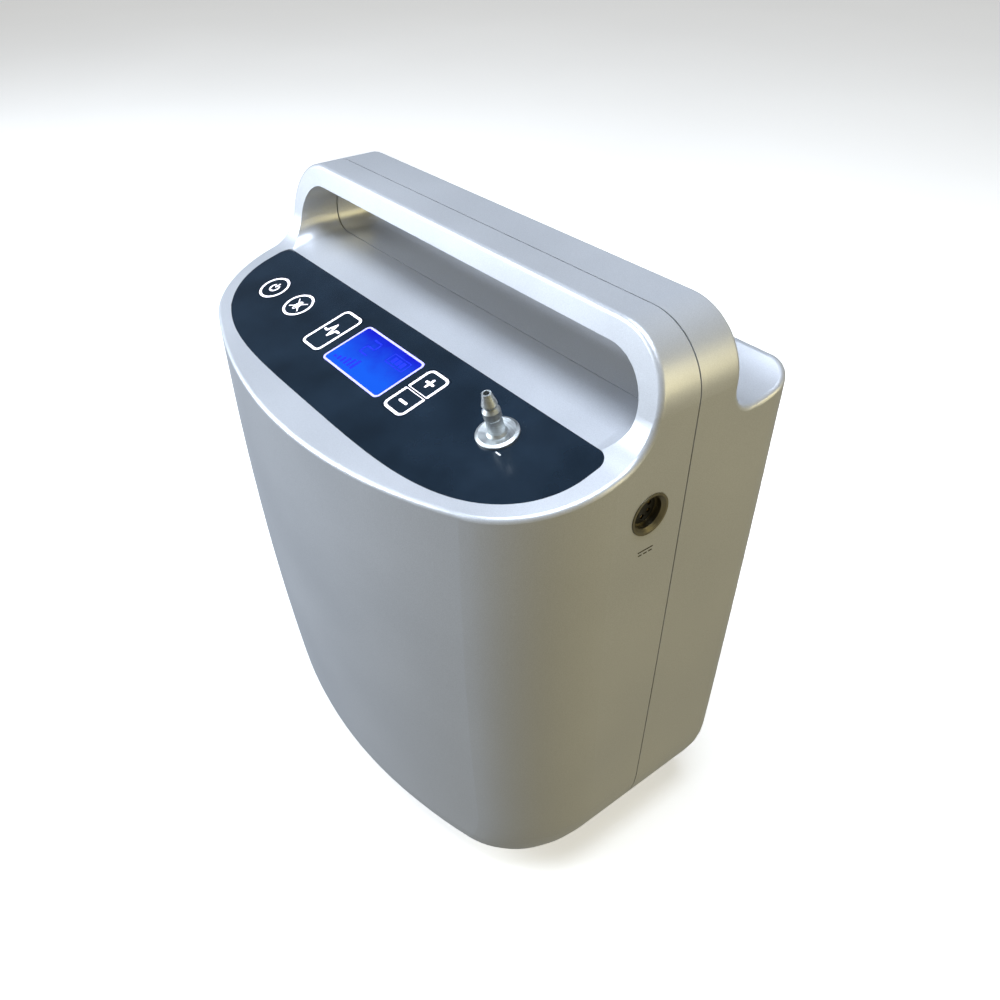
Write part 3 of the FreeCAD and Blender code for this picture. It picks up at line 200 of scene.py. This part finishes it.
def turned_metal(name, colour, rough, along, pitch=0.22 * MM):
    """Turned or drawn metal: fine tool lines across the axis named by its stretch."""
    material, tree, shader = start_material(name)
    shader.inputs["Metallic"].default_value = 1.0
    lines = noise(tree, pitch, 2.0, along)
    stain = noise(tree, 4 * MM, 4.0)
    tree.links.new(blend_colours(tree, add(tree, lines, stain, 0.6), tinted(colour, 0.72),
                                 tinted(colour, 1.1), (0.5, 1.1)), shader.inputs["Base Color"])
    tree.links.new(add(tree, spread(tree, stain, rough - 0.06, rough + 0.1), lines, 0.08),
                   shader.inputs["Roughness"])
    bump(tree, shader, lines, 0.15, 0.03 * MM)
    return material


def cast_metal(name, colour):
    """Sand-like cast skin."""
    material, tree, shader = start_material(name)
    shader.inputs["Metallic"].default_value = 0.9
    skin = noise(tree, 0.9 * MM, 5.0)
    tree.links.new(blend_colours(tree, skin, tinted(colour, 0.8), tinted(colour, 1.08)),
                   shader.inputs["Base Color"])
    tree.links.new(spread(tree, skin, 0.42, 0.62), shader.inputs["Roughness"])
    bump(tree, shader, skin, 0.35, 0.1 * MM)
    return material


LAMINATION_WAVES = 320
TRACK_CELLS = 110


def laminated(name, colour):
    """Stacked steel sheets: a level line about every millimetre."""
    material, tree, shader = start_material(name)
    shader.inputs["Metallic"].default_value = 0.85
    wave = tree.nodes.new("ShaderNodeTexWave")
    wave.bands_direction = "Z"
    wave.inputs["Scale"].default_value = LAMINATION_WAVES
    wave.inputs["Distortion"].default_value = 0.2
    tree.links.new(coordinates(tree, (1, 1, 1)), wave.inputs["Vector"])
    lines = wave.outputs["Fac"]
    tree.links.new(blend_colours(tree, lines, tinted(colour, 0.5), colour),
                   shader.inputs["Base Color"])
    tree.links.new(spread(tree, lines, 0.55, 0.35), shader.inputs["Roughness"])
    bump(tree, shader, lines, 0.4, 0.05 * MM)
    return material


def foam(name, colour):
    """Open-cell foam: a soft web, its pores painted dark as shade inside the holes."""
    material, tree, shader = start_material(name)
    pore_relief_and_shade = noise(tree, 1.1 * MM, kind="ShaderNodeTexVoronoi")
    # Painted shade: the pores are darkened as if no light reached into the holes, and the web between them is
    # lighter.
    tree.links.new(blend_colours(tree, pore_relief_and_shade, tinted(colour, 0.3), tinted(colour, 1.9), (0.1, 0.6)),
                   shader.inputs["Base Color"])
    tree.links.new(spread(tree, pore_relief_and_shade, 0.98, 0.85), shader.inputs["Roughness"])
    bump(tree, shader, pore_relief_and_shade, 0.9, 0.5 * MM)
    return material


def circuit(name, colour):
    """Solder mask over copper tracks, drawn as staggered blocks."""
    material, tree, shader = start_material(name)
    brick = tree.nodes.new("ShaderNodeTexBrick")
    brick.inputs["Scale"].default_value = TRACK_CELLS
    brick.inputs["Mortar Size"].default_value = 0.03
    brick.inputs["Color1"].default_value = (*colour, 1)
    brick.inputs["Color2"].default_value = (*tinted(colour, 1.35), 1)
    brick.inputs["Mortar"].default_value = (*tinted(colour, 0.55), 1)
    tree.links.new(coordinates(tree, (1, 1, 1)), brick.inputs["Vector"])
    tree.links.new(brick.outputs["Color"], shader.inputs["Base Color"])
    tree.links.new(spread(tree, noise(tree, 8 * MM), 0.28, 0.42), shader.inputs["Roughness"])
    bump(tree, shader, brick.outputs["Fac"], 0.2, 0.04 * MM)
    return material


def lit_display(name):
    """Blue backlight seen through the window: brighter at its front edge, faintly mottled."""
    material, tree, shader = start_material(name)
    low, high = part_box("lcd_window")
    source = tree.nodes.new("ShaderNodeTexCoord")
    split = tree.nodes.new("ShaderNodeSeparateXYZ")
    tree.links.new(source.outputs["Object"], split.inputs["Vector"])
    across = spread(tree, split.outputs["Y"], 1.0, 0.0, (low.y, high.y))
    mottled = add(tree, across, noise(tree, 7 * MM, 5.0), 0.5)
    colour = blend_colours(tree, mottled, (0.008, 0.014, 0.7), (0.004, 0.12, 0.96), (0.3, 1.15))
    tree.links.new(colour, shader.inputs["Emission Color"])
    tree.links.new(spread(tree, mottled, 0.001, 0.004), shader.inputs["Base Color"])
    shader.inputs["Emission Strength"].default_value = 1.0
    tree.links.new(spread(tree, noise(tree, 20 * MM), 0.2, 0.32), shader.inputs["Roughness"])
    shader.inputs["Specular IOR Level"].default_value = 0.06
    return material


def lit_mark(name, colour, strength):
    """Back-lit white print: the lamp behind it makes it slightly uneven."""
    material, tree, shader = start_material(name)
    glow = blend_colours(tree, noise(tree, 3 * MM, 3.0), tinted(colour, 0.88), colour)
    tree.links.new(glow, shader.inputs["Emission Color"])
    tree.links.new(glow, shader.inputs["Base Color"])
    shader.inputs["Emission Strength"].default_value = strength
    shader.inputs["Roughness"].default_value = 0.3
    return material


def printed(name, colour):
    """Pad-printed ink, a little worn."""
    material, tree, shader = start_material(name)
    wear = noise(tree, 0.8 * MM, 4.0)
    tree.links.new(blend_colours(tree, wear, colour, tinted(colour, 1.5)),
                   shader.inputs["Base Color"])
    tree.links.new(spread(tree, wear, 0.45, 0.65), shader.inputs["Roughness"])
    return material


def clear_tube(name, colour):
    """Milky silicone tube."""
    material, tree, shader = start_material(name)
    streak = noise(tree, 5 * MM, 2.0)
    tree.links.new(blend_colours(tree, streak, tinted(colour, 0.85), colour),
                   shader.inputs["Base Color"])
    tree.links.new(spread(tree, streak, 0.25, 0.4), shader.inputs["Roughness"])
    shader.inputs["Subsurface Weight"].default_value = 0.3
    return material


SILVER = (0.56, 0.58, 0.62)
NAVY = (0.0075, 0.016, 0.028)
ROUND_Z = (0.02, 0.02, 1)
ROUND_X = (1, 0.02, 0.02)

MATERIALS = {
    "case_paint": satin_paint("case_paint_satin", SILVER),
    "seam_rubber": rubber("seam_rubber_black", (0.018, 0.018, 0.02)),
    "panel_black": gloss_panel("panel_gloss", NAVY),
    "key_black": gloss_panel("key_gloss", NAVY),
    "lcd_glass": lit_display("display_lit"),
    "lcd_body": moulded("display_body", (0.1, 0.12, 0.2), 0.3),
    "frame_plastic": moulded("frame_moulded", (0.03, 0.03, 0.034), 0.5),
    "board_green": circuit("board_mask", (0.012, 0.11, 0.045)),
    "component_black": moulded("component_moulded", (0.022, 0.022, 0.024), 0.45),
    "barb_steel": turned_metal("barb_turned", (0.56, 0.59, 0.6), 0.4, ROUND_Z),
    "socket_metal": turned_metal("socket_plated", (0.24, 0.22, 0.16), 0.32, ROUND_X),
    "insert_black": moulded("insert_moulded", (0.006, 0.006, 0.007), 0.4),
    "pin_brass": turned_metal("pin_gold", (0.75, 0.55, 0.22), 0.25, ROUND_X),
    "foot_rubber": rubber("foot_rubber_black", (0.02, 0.02, 0.02)),
    "screw_steel": turned_metal("screw_zinc", (0.42, 0.42, 0.44), 0.35, ROUND_Z),
    "battery_shell": satin_paint("battery_satin", tinted(SILVER, 0.9)),
    "cell_wrap": moulded("cell_sleeve", (0.02, 0.14, 0.11), 0.3, 3 * MM, 0.05),
    "latch_grey": moulded("latch_moulded", (0.045, 0.046, 0.05), 0.5),
    "vent_grey": moulded("vent_moulded", (0.16, 0.165, 0.175), 0.5),
    "foam_black": foam("foam_open_cell", (0.05, 0.05, 0.05)),
    "aluminium_cast": cast_metal("aluminium_cast_skin", (0.5, 0.5, 0.52)),
    "lamination_steel": laminated("lamination_stack", (0.3, 0.3, 0.32)),
    "copper_wire": turned_metal("copper_enamel", (0.62, 0.25, 0.1), 0.3, ROUND_Z, 0.8 * MM),
    "canister_white": moulded("canister_moulded", (0.68, 0.68, 0.65), 0.42),
    "canister_aluminium": turned_metal("canister_drawn", (0.62, 0.63, 0.65), 0.32, ROUND_Z),
    "manifold_plastic": moulded("manifold_filled", (0.05, 0.058, 0.07), 0.55, 1.5 * MM, 0.25),
    "valve_grey": moulded("valve_moulded", (0.05, 0.05, 0.055), 0.4),
    "chassis_steel": cast_metal("chassis_coated", (0.4, 0.41, 0.42)),
    "tube_silicone": clear_tube("tube_milky", (0.6, 0.62, 0.63)),
}

# Flat plates stay flat shaded; every other piece is smooth between edges sharper than this.
FLAT_NODES = ("panel_overlay", "lcd_window")
SHARP_EDGE = math.radians(35)

for node_name, node_object in frame["nodes"].items():
    if node_name in FLAT_NODES:
        node_object.data.shade_flat()
    else:
        node_object.data.shade_smooth()
        node_object.data.set_sharp_from_angle(angle=SHARP_EDGE)
    for material_slot in node_object.material_slots:
        material_slot.material = MATERIALS[SLOT_OF[node_name]]

WHITE_LIT = lit_mark("mark_white_lit", (0.95, 0.9, 0.98), 0.8)
LAVENDER_LIT = lit_mark("mark_lavender_lit", (0.42, 0.4, 0.9), 0.75)
WHITE_INK = printed("mark_white_ink", (0.6, 0.62, 0.64))
GREY_INK = printed("mark_grey_ink", (0.022, 0.02, 0.016))
SEGMENT_INK = lit_mark("mark_segment", (0.006, 0.018, 0.42), 0.9)


# --------------------------------------------------------- panel coordinates
def panel_matrix():
    """Panel axes (x, uphill, normal) with the origin in the middle of the display's face."""
    joint = next(j for j in frame["joints"] if j["name"] == "power_key_press")
    normal = -Vector(joint["axis"]).normalized()
    across = Vector((1, 0, 0))
    uphill = normal.cross(across)
    turn = Matrix((across, uphill, normal)).transposed()
    vertices = [turn.inverted() @ v.co for v in frame["nodes"]["lcd_window"].data.vertices]
    low = [min(v[i] for v in vertices) for i in range(3)]
    high = [max(v[i] for v in vertices) for i in range(3)]
    middle = turn @ Vector(((low[0] + high[0]) / 2, (low[1] + high[1]) / 2, high[2]))
    return Matrix.Translation(middle) @ turn.to_4x4()


PANEL = panel_matrix()
FACE_DEPTH = 0.1 * MM


def panel_points(node):
    """A node's vertices in the panel's own axes."""
    inverse = PANEL.inverted()
    return [inverse @ v.co for v in frame["nodes"][node].data.vertices]


def extent_of(points):
    """Outline box (u0, u1, v0, v1) of some points on the panel."""
    return (min(p.x for p in points), max(p.x for p in points),
            min(p.y for p in points), max(p.y for p in points))


def panel_extent(node):
    """Outline box of a node's top face on the panel."""
    points = panel_points(node)
    top = max(p.z for p in points)
    return extent_of([p for p in points if p.z > top - FACE_DEPTH])


def middle_of(extent):
    """Centre of an outline box."""
    return ((extent[0] + extent[1]) / 2, (extent[2] + extent[3]) / 2)


# --------------------------------------------------------------- flat marks
CORNER_STEPS = 10
ARC_STEP = 6
LEAST_ARC_STEPS = 4


def rounded_loop(u0, u1, v0, v1, radii):
    """Points of a rectangle, anticlockwise from low left, each corner with its own radius."""
    corners = [(u0, v0, 1, 1, 180), (u1, v0, -1, 1, 270), (u1, v1, -1, -1, 0), (u0, v1, 1, -1, 90)]
    points = []
    for (u, v, inward_u, inward_v, start), radius in zip(corners, radii):
        centre = (u + inward_u * radius, v + inward_v * radius)
        for i in range(CORNER_STEPS + 1):
            angle = math.radians(start + 90 * i / CORNER_STEPS)
            points.append((centre[0] + radius * math.cos(angle),
                           centre[1] + radius * math.sin(angle)))
    return points


class Mark:
    """Thin raised shapes gathered into one mesh on a flat face, from low to high above it."""

    def __init__(self, name, low=-0.02 * MM, high=0.03 * MM):
        self.name = name
        self.low = low
        self.high = high
        self.mesh = bmesh.new()

    def loop(self, points, height):
        """New vertices along an outline, all at one height."""
        return [self.mesh.verts.new((u, v, height)) for u, v in points]

    def wall(self, first, second):
        """Faces between two closed loops of as many vertices."""
        for i in range(len(first)):
            j = (i + 1) % len(first)
            self.mesh.faces.new((first[i], first[j], second[j], second[i]))

    def filled(self, points):
        """A solid slab with the given outline."""
        bottom = self.loop(points, self.low)
        top = self.loop(points, self.high)
        self.wall(bottom, top)
        self.mesh.faces.new(top)
        self.mesh.faces.new(list(reversed(bottom)))

    def ring(self, outer, inner):
        """A closed band between two outlines with as many points."""
        loops = [self.loop(outer, self.low), self.loop(outer, self.high),
                 self.loop(inner, self.high), self.loop(inner, self.low)]
        for first, second in zip(loops, loops[1:] + loops[:1]):
            self.wall(first, second)

    def stroke(self, start, end, width):
        """A round-ended bar from one point to another."""
        direction = Vector(end) - Vector(start)
        length = direction.length
        radius = width / 2
        flat = rounded_loop(-radius, length + radius, -radius, radius, (radius,) * 4)
        angle = math.atan2(direction.y, direction.x)
        cos, sin = math.cos(angle), math.sin(angle)
        self.filled([(start[0] + u * cos - v * sin, start[1] + u * sin + v * cos)
                     for u, v in flat])

    def arc(self, centre, radius, width, start, end):
        """A band along an arc, angles in degrees."""
        steps = max(LEAST_ARC_STEPS, int(abs(end - start) / ARC_STEP))
        angles = [math.radians(start + (end - start) * i / steps) for i in range(steps + 1)]
        outline = [(centre[0] + (radius + width / 2) * math.cos(a),
                    centre[1] + (radius + width / 2) * math.sin(a)) for a in angles]
        outline += [(centre[0] + (radius - width / 2) * math.cos(a),
                     centre[1] + (radius - width / 2) * math.sin(a)) for a in reversed(angles)]
        self.filled(outline)

    def place(self, matrix, material, body):
        """Turn the shapes into a piece that rides on a body."""
        bmesh.ops.recalc_face_normals(self.mesh, faces=self.mesh.faces)
        data = bpy.data.meshes.new(self.name)
        self.mesh.to_mesh(data)
        self.mesh.free()
        data.transform(matrix)
        data.materials.append(material)
        piece = bpy.data.objects.new(self.name, data)
        bpy.context.scene.collection.objects.link(piece)
        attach(piece, body)


# Key outlines: line width, gap to the key's edge, and the corner radii of a key, of the edge
# that plus and minus share, and of the tightest inner corner
LINE = 1.25 * MM
INSET = 0.25 * MM
KEY_ROUND = 3.2 * MM
SHARED_ROUND = 0.6 * MM
LEAST_ROUND = 0.35 * MM

# Power sign: an open circle, angles in degrees, and a bar from its low to its high end
POWER_RADIUS = 2.4 * MM
POWER_LINE = 0.9 * MM
POWER_ARC = (125, 415)
POWER_BAR = (0.7 * MM, 3.1 * MM)

# Crossed bell
BELL_SIZE = 2.6 * MM
CLAPPER_DROP = 2.4 * MM
CLAPPER_RADIUS = 0.7 * MM
CLAPPER_LINE = 0.5 * MM
CROSS_REACH = 3.7 * MM
CROSS_LINE = 0.55 * MM

# Breath wave: corners in millimetres from the middle of the mode key
BREATH_WAVE = ((-4.2, -1.2), (-2.6, -1.2), (-1.1, 3.4), (0.9, -3.4), (2.1, 0.6), (4.2, 0.6))
BREATH_LINE = 1.2 * MM

# Plus and minus
STEP_ARM = 2.1 * MM
STEP_LINE = 1.25 * MM


def key_outline(mark, extent, radii, widths):
    """The lit line just inside a key's edge; widths are low, right, high and left."""
    u0, u1, v0, v1 = extent
    outer = rounded_loop(u0 + INSET, u1 - INSET, v0 + INSET, v1 - INSET, radii)
    inner_radii = [max(radius - LINE, LEAST_ROUND) for radius in radii]
    inner = rounded_loop(u0 + INSET + widths[3], u1 - INSET - widths[1],
                         v0 + INSET + widths[0], v1 - INSET - widths[2], inner_radii)
    mark.ring(outer, inner)


def round_key(name, mark):
    """A round key's lit outline on a mark; returns the key's centre."""
    extent = panel_extent(name)
    radius = (extent[1] - extent[0]) / 2
    key_outline(mark, extent, (radius - INSET,) * 4, (LINE,) * 4)
    return middle_of(extent)


def power_mark():
    """The outline of the power key and its open circle with a bar."""
    mark = Mark("power_mark")
    centre = round_key("power_key", mark)
    mark.arc(centre, POWER_RADIUS, POWER_LINE, *POWER_ARC)
    low, high = POWER_BAR
    mark.stroke((centre[0], centre[1] + low), (centre[0], centre[1] + high), POWER_LINE)
    mark.place(PANEL, WHITE_LIT, "power_key")


def bell_outline(centre, scale):
    """A small bell: domed top, flared foot."""
    points = [(centre[0] + scale * math.cos(math.radians(a)) * 0.62,
               centre[1] + scale * (0.15 + math.sin(math.radians(a)) * 0.85))
              for a in range(0, 181, 15)]
    points += [(centre[0] - scale * 0.68, centre[1] - scale * 0.45),
               (centre[0] - scale, centre[1] - scale * 0.8),
               (centre[0] + scale, centre[1] - scale * 0.8),
               (centre[0] + scale * 0.68, centre[1] - scale * 0.45)]
    return points


def alarm_mark():
    """The outline of the alarm key and a bell with its clapper, crossed out twice."""
    mark = Mark("alarm_mark")
    centre = round_key("alarm_mute_key", mark)
    mark.filled(bell_outline(centre, BELL_SIZE))
    mark.arc((centre[0], centre[1] - CLAPPER_DROP), CLAPPER_RADIUS, CLAPPER_LINE, 180, 360)
    reach_u, reach_v = CROSS_REACH, 0.8 * CROSS_REACH
    for side in (-1, 1):
        mark.stroke((centre[0] - side * reach_u, centre[1] - reach_v),
                    (centre[0] + side * reach_u, centre[1] + reach_v), CROSS_LINE)
    mark.place(PANEL, WHITE_LIT, "alarm_mute_key")


def mode_mark():
    """The mode key's outline and a small breath wave."""
    extent = panel_extent("mode_key")
    centre = middle_of(extent)
    mark = Mark("mode_mark")
    key_outline(mark, extent, (KEY_ROUND,) * 4, (LINE,) * 4)
    places = [(centre[0] + u * MM, centre[1] + v * MM) for u, v in BREATH_WAVE]
    for start, end in zip(places, places[1:]):
        mark.stroke(start, end, BREATH_LINE)
    mark.place(PANEL, WHITE_LIT, "mode_key")


def step_marks():
    """Plus and minus keys share one outline, split by a line."""
    shared = LINE / 2 - INSET
    for name, radii, widths in (
            ("plus", (SHARED_ROUND, SHARED_ROUND, KEY_ROUND, KEY_ROUND),
             (shared, LINE, LINE, LINE)),
            ("minus", (KEY_ROUND, KEY_ROUND, SHARED_ROUND, SHARED_ROUND),
             (LINE, LINE, shared, LINE))):
        extent = panel_extent(name + "_key")
        centre = middle_of(extent)
        mark = Mark(name + "_mark")
        key_outline(mark, extent, radii, widths)
        mark.stroke((centre[0] - STEP_ARM, centre[1]), (centre[0] + STEP_ARM, centre[1]),
                    STEP_LINE)
        if name == "plus":
            mark.stroke((centre[0], centre[1] - STEP_ARM), (centre[0], centre[1] + STEP_ARM),
                        STEP_LINE)
        mark.place(PANEL, WHITE_LIT, name + "_key")


# Display rim: reach outside and inside the window's edge, with its corner radii
RIM_OUTSIDE = 0.1 * MM
RIM_INSIDE = 0.9 * MM
RIM_OUTER_ROUND = 2.4 * MM
RIM_INNER_ROUND = 1.5 * MM

SEGMENT_HIGH = 0.015 * MM
SEGMENT_ROUND = 0.2 * MM

# Battery gauge: left, right, low and high from the window's high right corner, and its cells
GAUGE_BOX = (-17 * MM, -5 * MM, -9.5 * MM, -4 * MM)
GAUGE_LINE = 0.5 * MM
GAUGE_CELLS = 3
CELL_START = 2 * MM
CELL_PITCH = 3 * MM
CELL_WIDTH = 2.2 * MM
CELL_GAP = 1.1 * MM

# Level bars: place of the first from the window's low left corner, and how the others follow
BAR_COUNT = 6
BAR_PLACE = (4 * MM, 3.5 * MM)
BAR_WIDTH = 1.7 * MM
BAR_HEIGHT = 1.5 * MM
BAR_PITCH = 2.6 * MM
BAR_RISE = 0.9 * MM

# Digit: its middle from the window's high left corner, half its size, and the strokes of a two
DIGIT_PLACE = (14 * MM, -8.5 * MM)
DIGIT_HALF = (2.6 * MM, 4.2 * MM)
DIGIT_LINE = 0.8 * MM
DIGIT_STROKES = (((-1, 1), (1, 1)), ((1, 1), (1, 0)), ((1, 0), (-1, 0)),
                 ((-1, 0), (-1, -1)), ((-1, -1), (1, -1)))


def display_marks():
    """The pale rim of the display and its dark liquid-crystal segments."""
    u0, u1, v0, v1 = panel_extent("lcd_window")
    rim = Mark("display_rim")
    rim.ring(rounded_loop(u0 - RIM_OUTSIDE, u1 + RIM_OUTSIDE, v0 - RIM_OUTSIDE,
                          v1 + RIM_OUTSIDE, (RIM_OUTER_ROUND,) * 4),
             rounded_loop(u0 + RIM_INSIDE, u1 - RIM_INSIDE, v0 + RIM_INSIDE,
                          v1 - RIM_INSIDE, (RIM_INNER_ROUND,) * 4))
    rim.place(PANEL, LAVENDER_LIT, "housing")

    segments = Mark("display_segments", high=SEGMENT_HIGH)
    left, right, low, high = (u1 + GAUGE_BOX[0], u1 + GAUGE_BOX[1],
                              v1 + GAUGE_BOX[2], v1 + GAUGE_BOX[3])
    for start, end in (((left, low), (right, low)), ((right, low), (right, high)),
                       ((right, high), (left, high)), ((left, high), (left, low))):
        segments.stroke(start, end, GAUGE_LINE)
    for i in range(GAUGE_CELLS):
        u = left + CELL_START + i * CELL_PITCH
        segments.filled(rounded_loop(u, u + CELL_WIDTH, low + CELL_GAP, high - CELL_GAP,
                                     (SEGMENT_ROUND,) * 4))

    for i in range(BAR_COUNT):
        u, v = u0 + BAR_PLACE[0] + i * BAR_PITCH, v0 + BAR_PLACE[1]
        segments.filled(rounded_loop(u, u + BAR_WIDTH, v, v + BAR_HEIGHT + i * BAR_RISE,
                                     (SEGMENT_ROUND,) * 4))

    centre_u, centre_v = u0 + DIGIT_PLACE[0], v1 + DIGIT_PLACE[1]
    half_u, half_v = DIGIT_HALF
    for start, end in DIGIT_STROKES:
        segments.stroke((centre_u + start[0] * half_u, centre_v + start[1] * half_v),
                        (centre_u + end[0] * half_u, centre_v + end[1] * half_v), DIGIT_LINE)
    segments.place(PANEL, SEGMENT_INK, "housing")


# Dash at the outlet: place from the middle of the outlet's disc, half length, line width
DASH_PLACE = (8.2 * MM, -6.4 * MM)
DASH_HALF = 1.1 * MM
DASH_LINE = 0.6 * MM
DISC_HEIGHT = 1 * MM


def outlet_mark():
    """A short white dash in front of the oxygen outlet, a little to the right."""
    disc = [p for p in panel_points("outlet_barb") if 0 <= p.z < DISC_HEIGHT]
    middle = middle_of(extent_of(disc))
    u, v = middle[0] + DASH_PLACE[0], middle[1] + DASH_PLACE[1]
    mark = Mark("outlet_dash")
    mark.stroke((u - DASH_HALF, v), (u + DASH_HALF, v), DASH_LINE)
    mark.place(PANEL, WHITE_INK, "housing")


# Direct-current sign: drop below the inlet, half height, line width and lengths
SIGN_DROP = 8.5 * MM
SIGN_HALF_HEIGHT = 0.8 * MM
SIGN_LINE = 0.6 * MM
SIGN_HALF_WIDTH = 3.6 * MM
SIGN_DASH_PITCH = 2.6 * MM
SIGN_DASH_HALF = 0.7 * MM
# Sign axes on the right-hand wall: u to the back, v up, normal to the right
RIGHT_WALL = Matrix(((0, 0, 1, 0), (1, 0, 0, 0), (0, 1, 0, 0), (0, 0, 0, 1)))


def inlet_mark():
    """Direct-current sign under the inlet: one line over three dashes."""
    low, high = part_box("dc_inlet_shell")
    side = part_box("front_shell")[1].x
    centre_y = (low.y + high.y) / 2
    matrix = Matrix.Translation((side, centre_y, low.z - SIGN_DROP)) @ RIGHT_WALL
    mark = Mark("inlet_sign")
    mark.stroke((-SIGN_HALF_WIDTH, SIGN_HALF_HEIGHT), (SIGN_HALF_WIDTH, SIGN_HALF_HEIGHT),
                SIGN_LINE)
    for i in (-1, 0, 1):
        u = i * SIGN_DASH_PITCH
        mark.stroke((u - SIGN_DASH_HALF, -SIGN_HALF_HEIGHT),
                    (u + SIGN_DASH_HALF, -SIGN_HALF_HEIGHT), SIGN_LINE)
    mark.place(matrix, GREY_INK, "housing")


power_mark()
alarm_mark()
mode_mark()
step_marks()
display_marks()
outlet_mark()
inlet_mark()


# ------------------------------------------------------------ stage and light
FLOOR_HALF = 12
FLOOR_GLOW = 0.45
DOME_RADIUS = 11


def unlit_piece(name, data, material):
    """A piece of the stage that throws no light on the object."""
    data.materials.append(material)
    piece = bpy.data.objects.new(name, data)
    piece.visible_diffuse = False
    piece.visible_glossy = False
    bpy.context.scene.collection.objects.link(piece)
    return piece


def stage_floor():
    """A pale floor that takes the shadow but throws no light back up."""
    material, tree, shader = start_material("floor_pale")
    tree.links.new(blend_colours(tree, noise(tree, 0.4, 2.0), (0.84, 0.84, 0.84),
                                 (0.9, 0.9, 0.9)), shader.inputs["Base Color"])
    shader.inputs["Roughness"].default_value = 0.9
    shader.inputs["Emission Color"].default_value = (1, 1, 1, 1)
    shader.inputs["Emission Strength"].default_value = FLOOR_GLOW
    data = bpy.data.meshes.new("floor")
    half = FLOOR_HALF
    data.from_pydata([(-half, -half, 0), (half, -half, 0), (half, half, 0), (-half, half, 0)], [],
                     [(0, 1, 2, 3)])
    floor = unlit_piece("floor", data, material)


def backdrop():
    """A pale dome far behind everything: only the camera sees it, and light passes through it."""
    material, tree, shader = start_material("backdrop_pale")
    tree.links.new(blend_colours(tree, noise(tree, 3.0, 1.0), (0.86, 0.87, 0.88),
                                 (0.9, 0.9, 0.9)), shader.inputs["Emission Color"])
    shader.inputs["Emission Strength"].default_value = 1.0
    shader.inputs["Base Color"].default_value = (0, 0, 0, 1)
    shader.inputs["Roughness"].default_value = 1.0
    data = bpy.data.meshes.new("backdrop")
    shape = bmesh.new()
    bmesh.ops.create_icosphere(shape, subdivisions=4, radius=DOME_RADIUS)
    shape.to_mesh(data)
    shape.free()
    data.shade_smooth()
    dome = unlit_piece("backdrop", data, material)
    dome.visible_transmission = False
    dome.visible_shadow = False


def soft_light(name, direction, distance, size, power, colour):
    """An area light that looks at the middle of the case."""
    middle = (cad_low + cad_high) / 2
    data = bpy.data.lights.new(name, "AREA")
    data.shape = "RECTANGLE"
    data.size, data.size_y = size
    data.energy = power
    data.color = colour
    light = bpy.data.objects.new(name, data)
    light.location = middle + Vector(direction).normalized() * distance
    light.rotation_euler = (-Vector(direction)).to_track_quat("-Z", "Y").to_euler()
    bpy.context.scene.collection.objects.link(light)


def studio():
    """Cool light from above and the left, a little warm light from the right-hand wall."""
    world = bpy.data.worlds.new("studio")
    bpy.context.scene.world = world
    world.use_nodes = True
    tree = world.node_tree
    source = tree.nodes.new("ShaderNodeTexCoord")
    split = tree.nodes.new("ShaderNodeSeparateXYZ")
    tree.links.new(source.outputs["Generated"], split.inputs["Vector"])
    side = blend_colours(tree, spread(tree, split.outputs["X"], 0.0, 1.0, (-0.6, 0.9)),
                         (0.76, 0.86, 1.0), (1.0, 0.85, 0.45), (0.0, 1.0))
    background = tree.nodes["Background"]
    tree.links.new(side, background.inputs["Color"])
    tree.links.new(spread(tree, split.outputs["Z"], 0.34, 0.15, (-0.3, 0.6)),
                   background.inputs["Strength"])
    soft_light("key_front", direction=(-0.68, -0.78, 0.4), distance=1.5, size=(1.0, 0.9),
               power=27, colour=(0.86, 0.93, 1.0))
    soft_light("top", direction=(0.05, -0.12, 0.98), distance=1.4, size=(0.9, 0.7),
               power=25, colour=(0.8, 0.88, 1.0))
    soft_light("warm_right", direction=(0.85, 0.45, 0.25), distance=1.5, size=(0.8, 0.8),
               power=6.5, colour=(1.0, 0.86, 0.44))
    bpy.context.scene.view_settings.view_transform = "Standard"


def camera():
    """The viewing place and direction, right and up from a fitted pinhole camera."""
    data = bpy.data.cameras.new("camera")
    data.sensor_width = 36
    data.lens = 31.444
    data.shift_x = 0.01358
    data.shift_y = -0.00107
    data.clip_start = 0.01
    data.clip_end = 50
    right = Vector((0.60518, 0.79605, -0.00712))
    up = Vector((-0.48351, 0.37466, 0.79111))
    back = Vector((0.63243, -0.47532, 0.61163))
    turn = Matrix((right, up, back)).transposed().to_4x4()
    view = bpy.data.objects.new("camera", data)
    view.matrix_world = Matrix.Translation((0.28623, -0.18853, 0.42055)) @ turn
    bpy.context.scene.collection.objects.link(view)
    bpy.context.scene.camera = view


stage_floor()
backdrop()
studio()
camera()
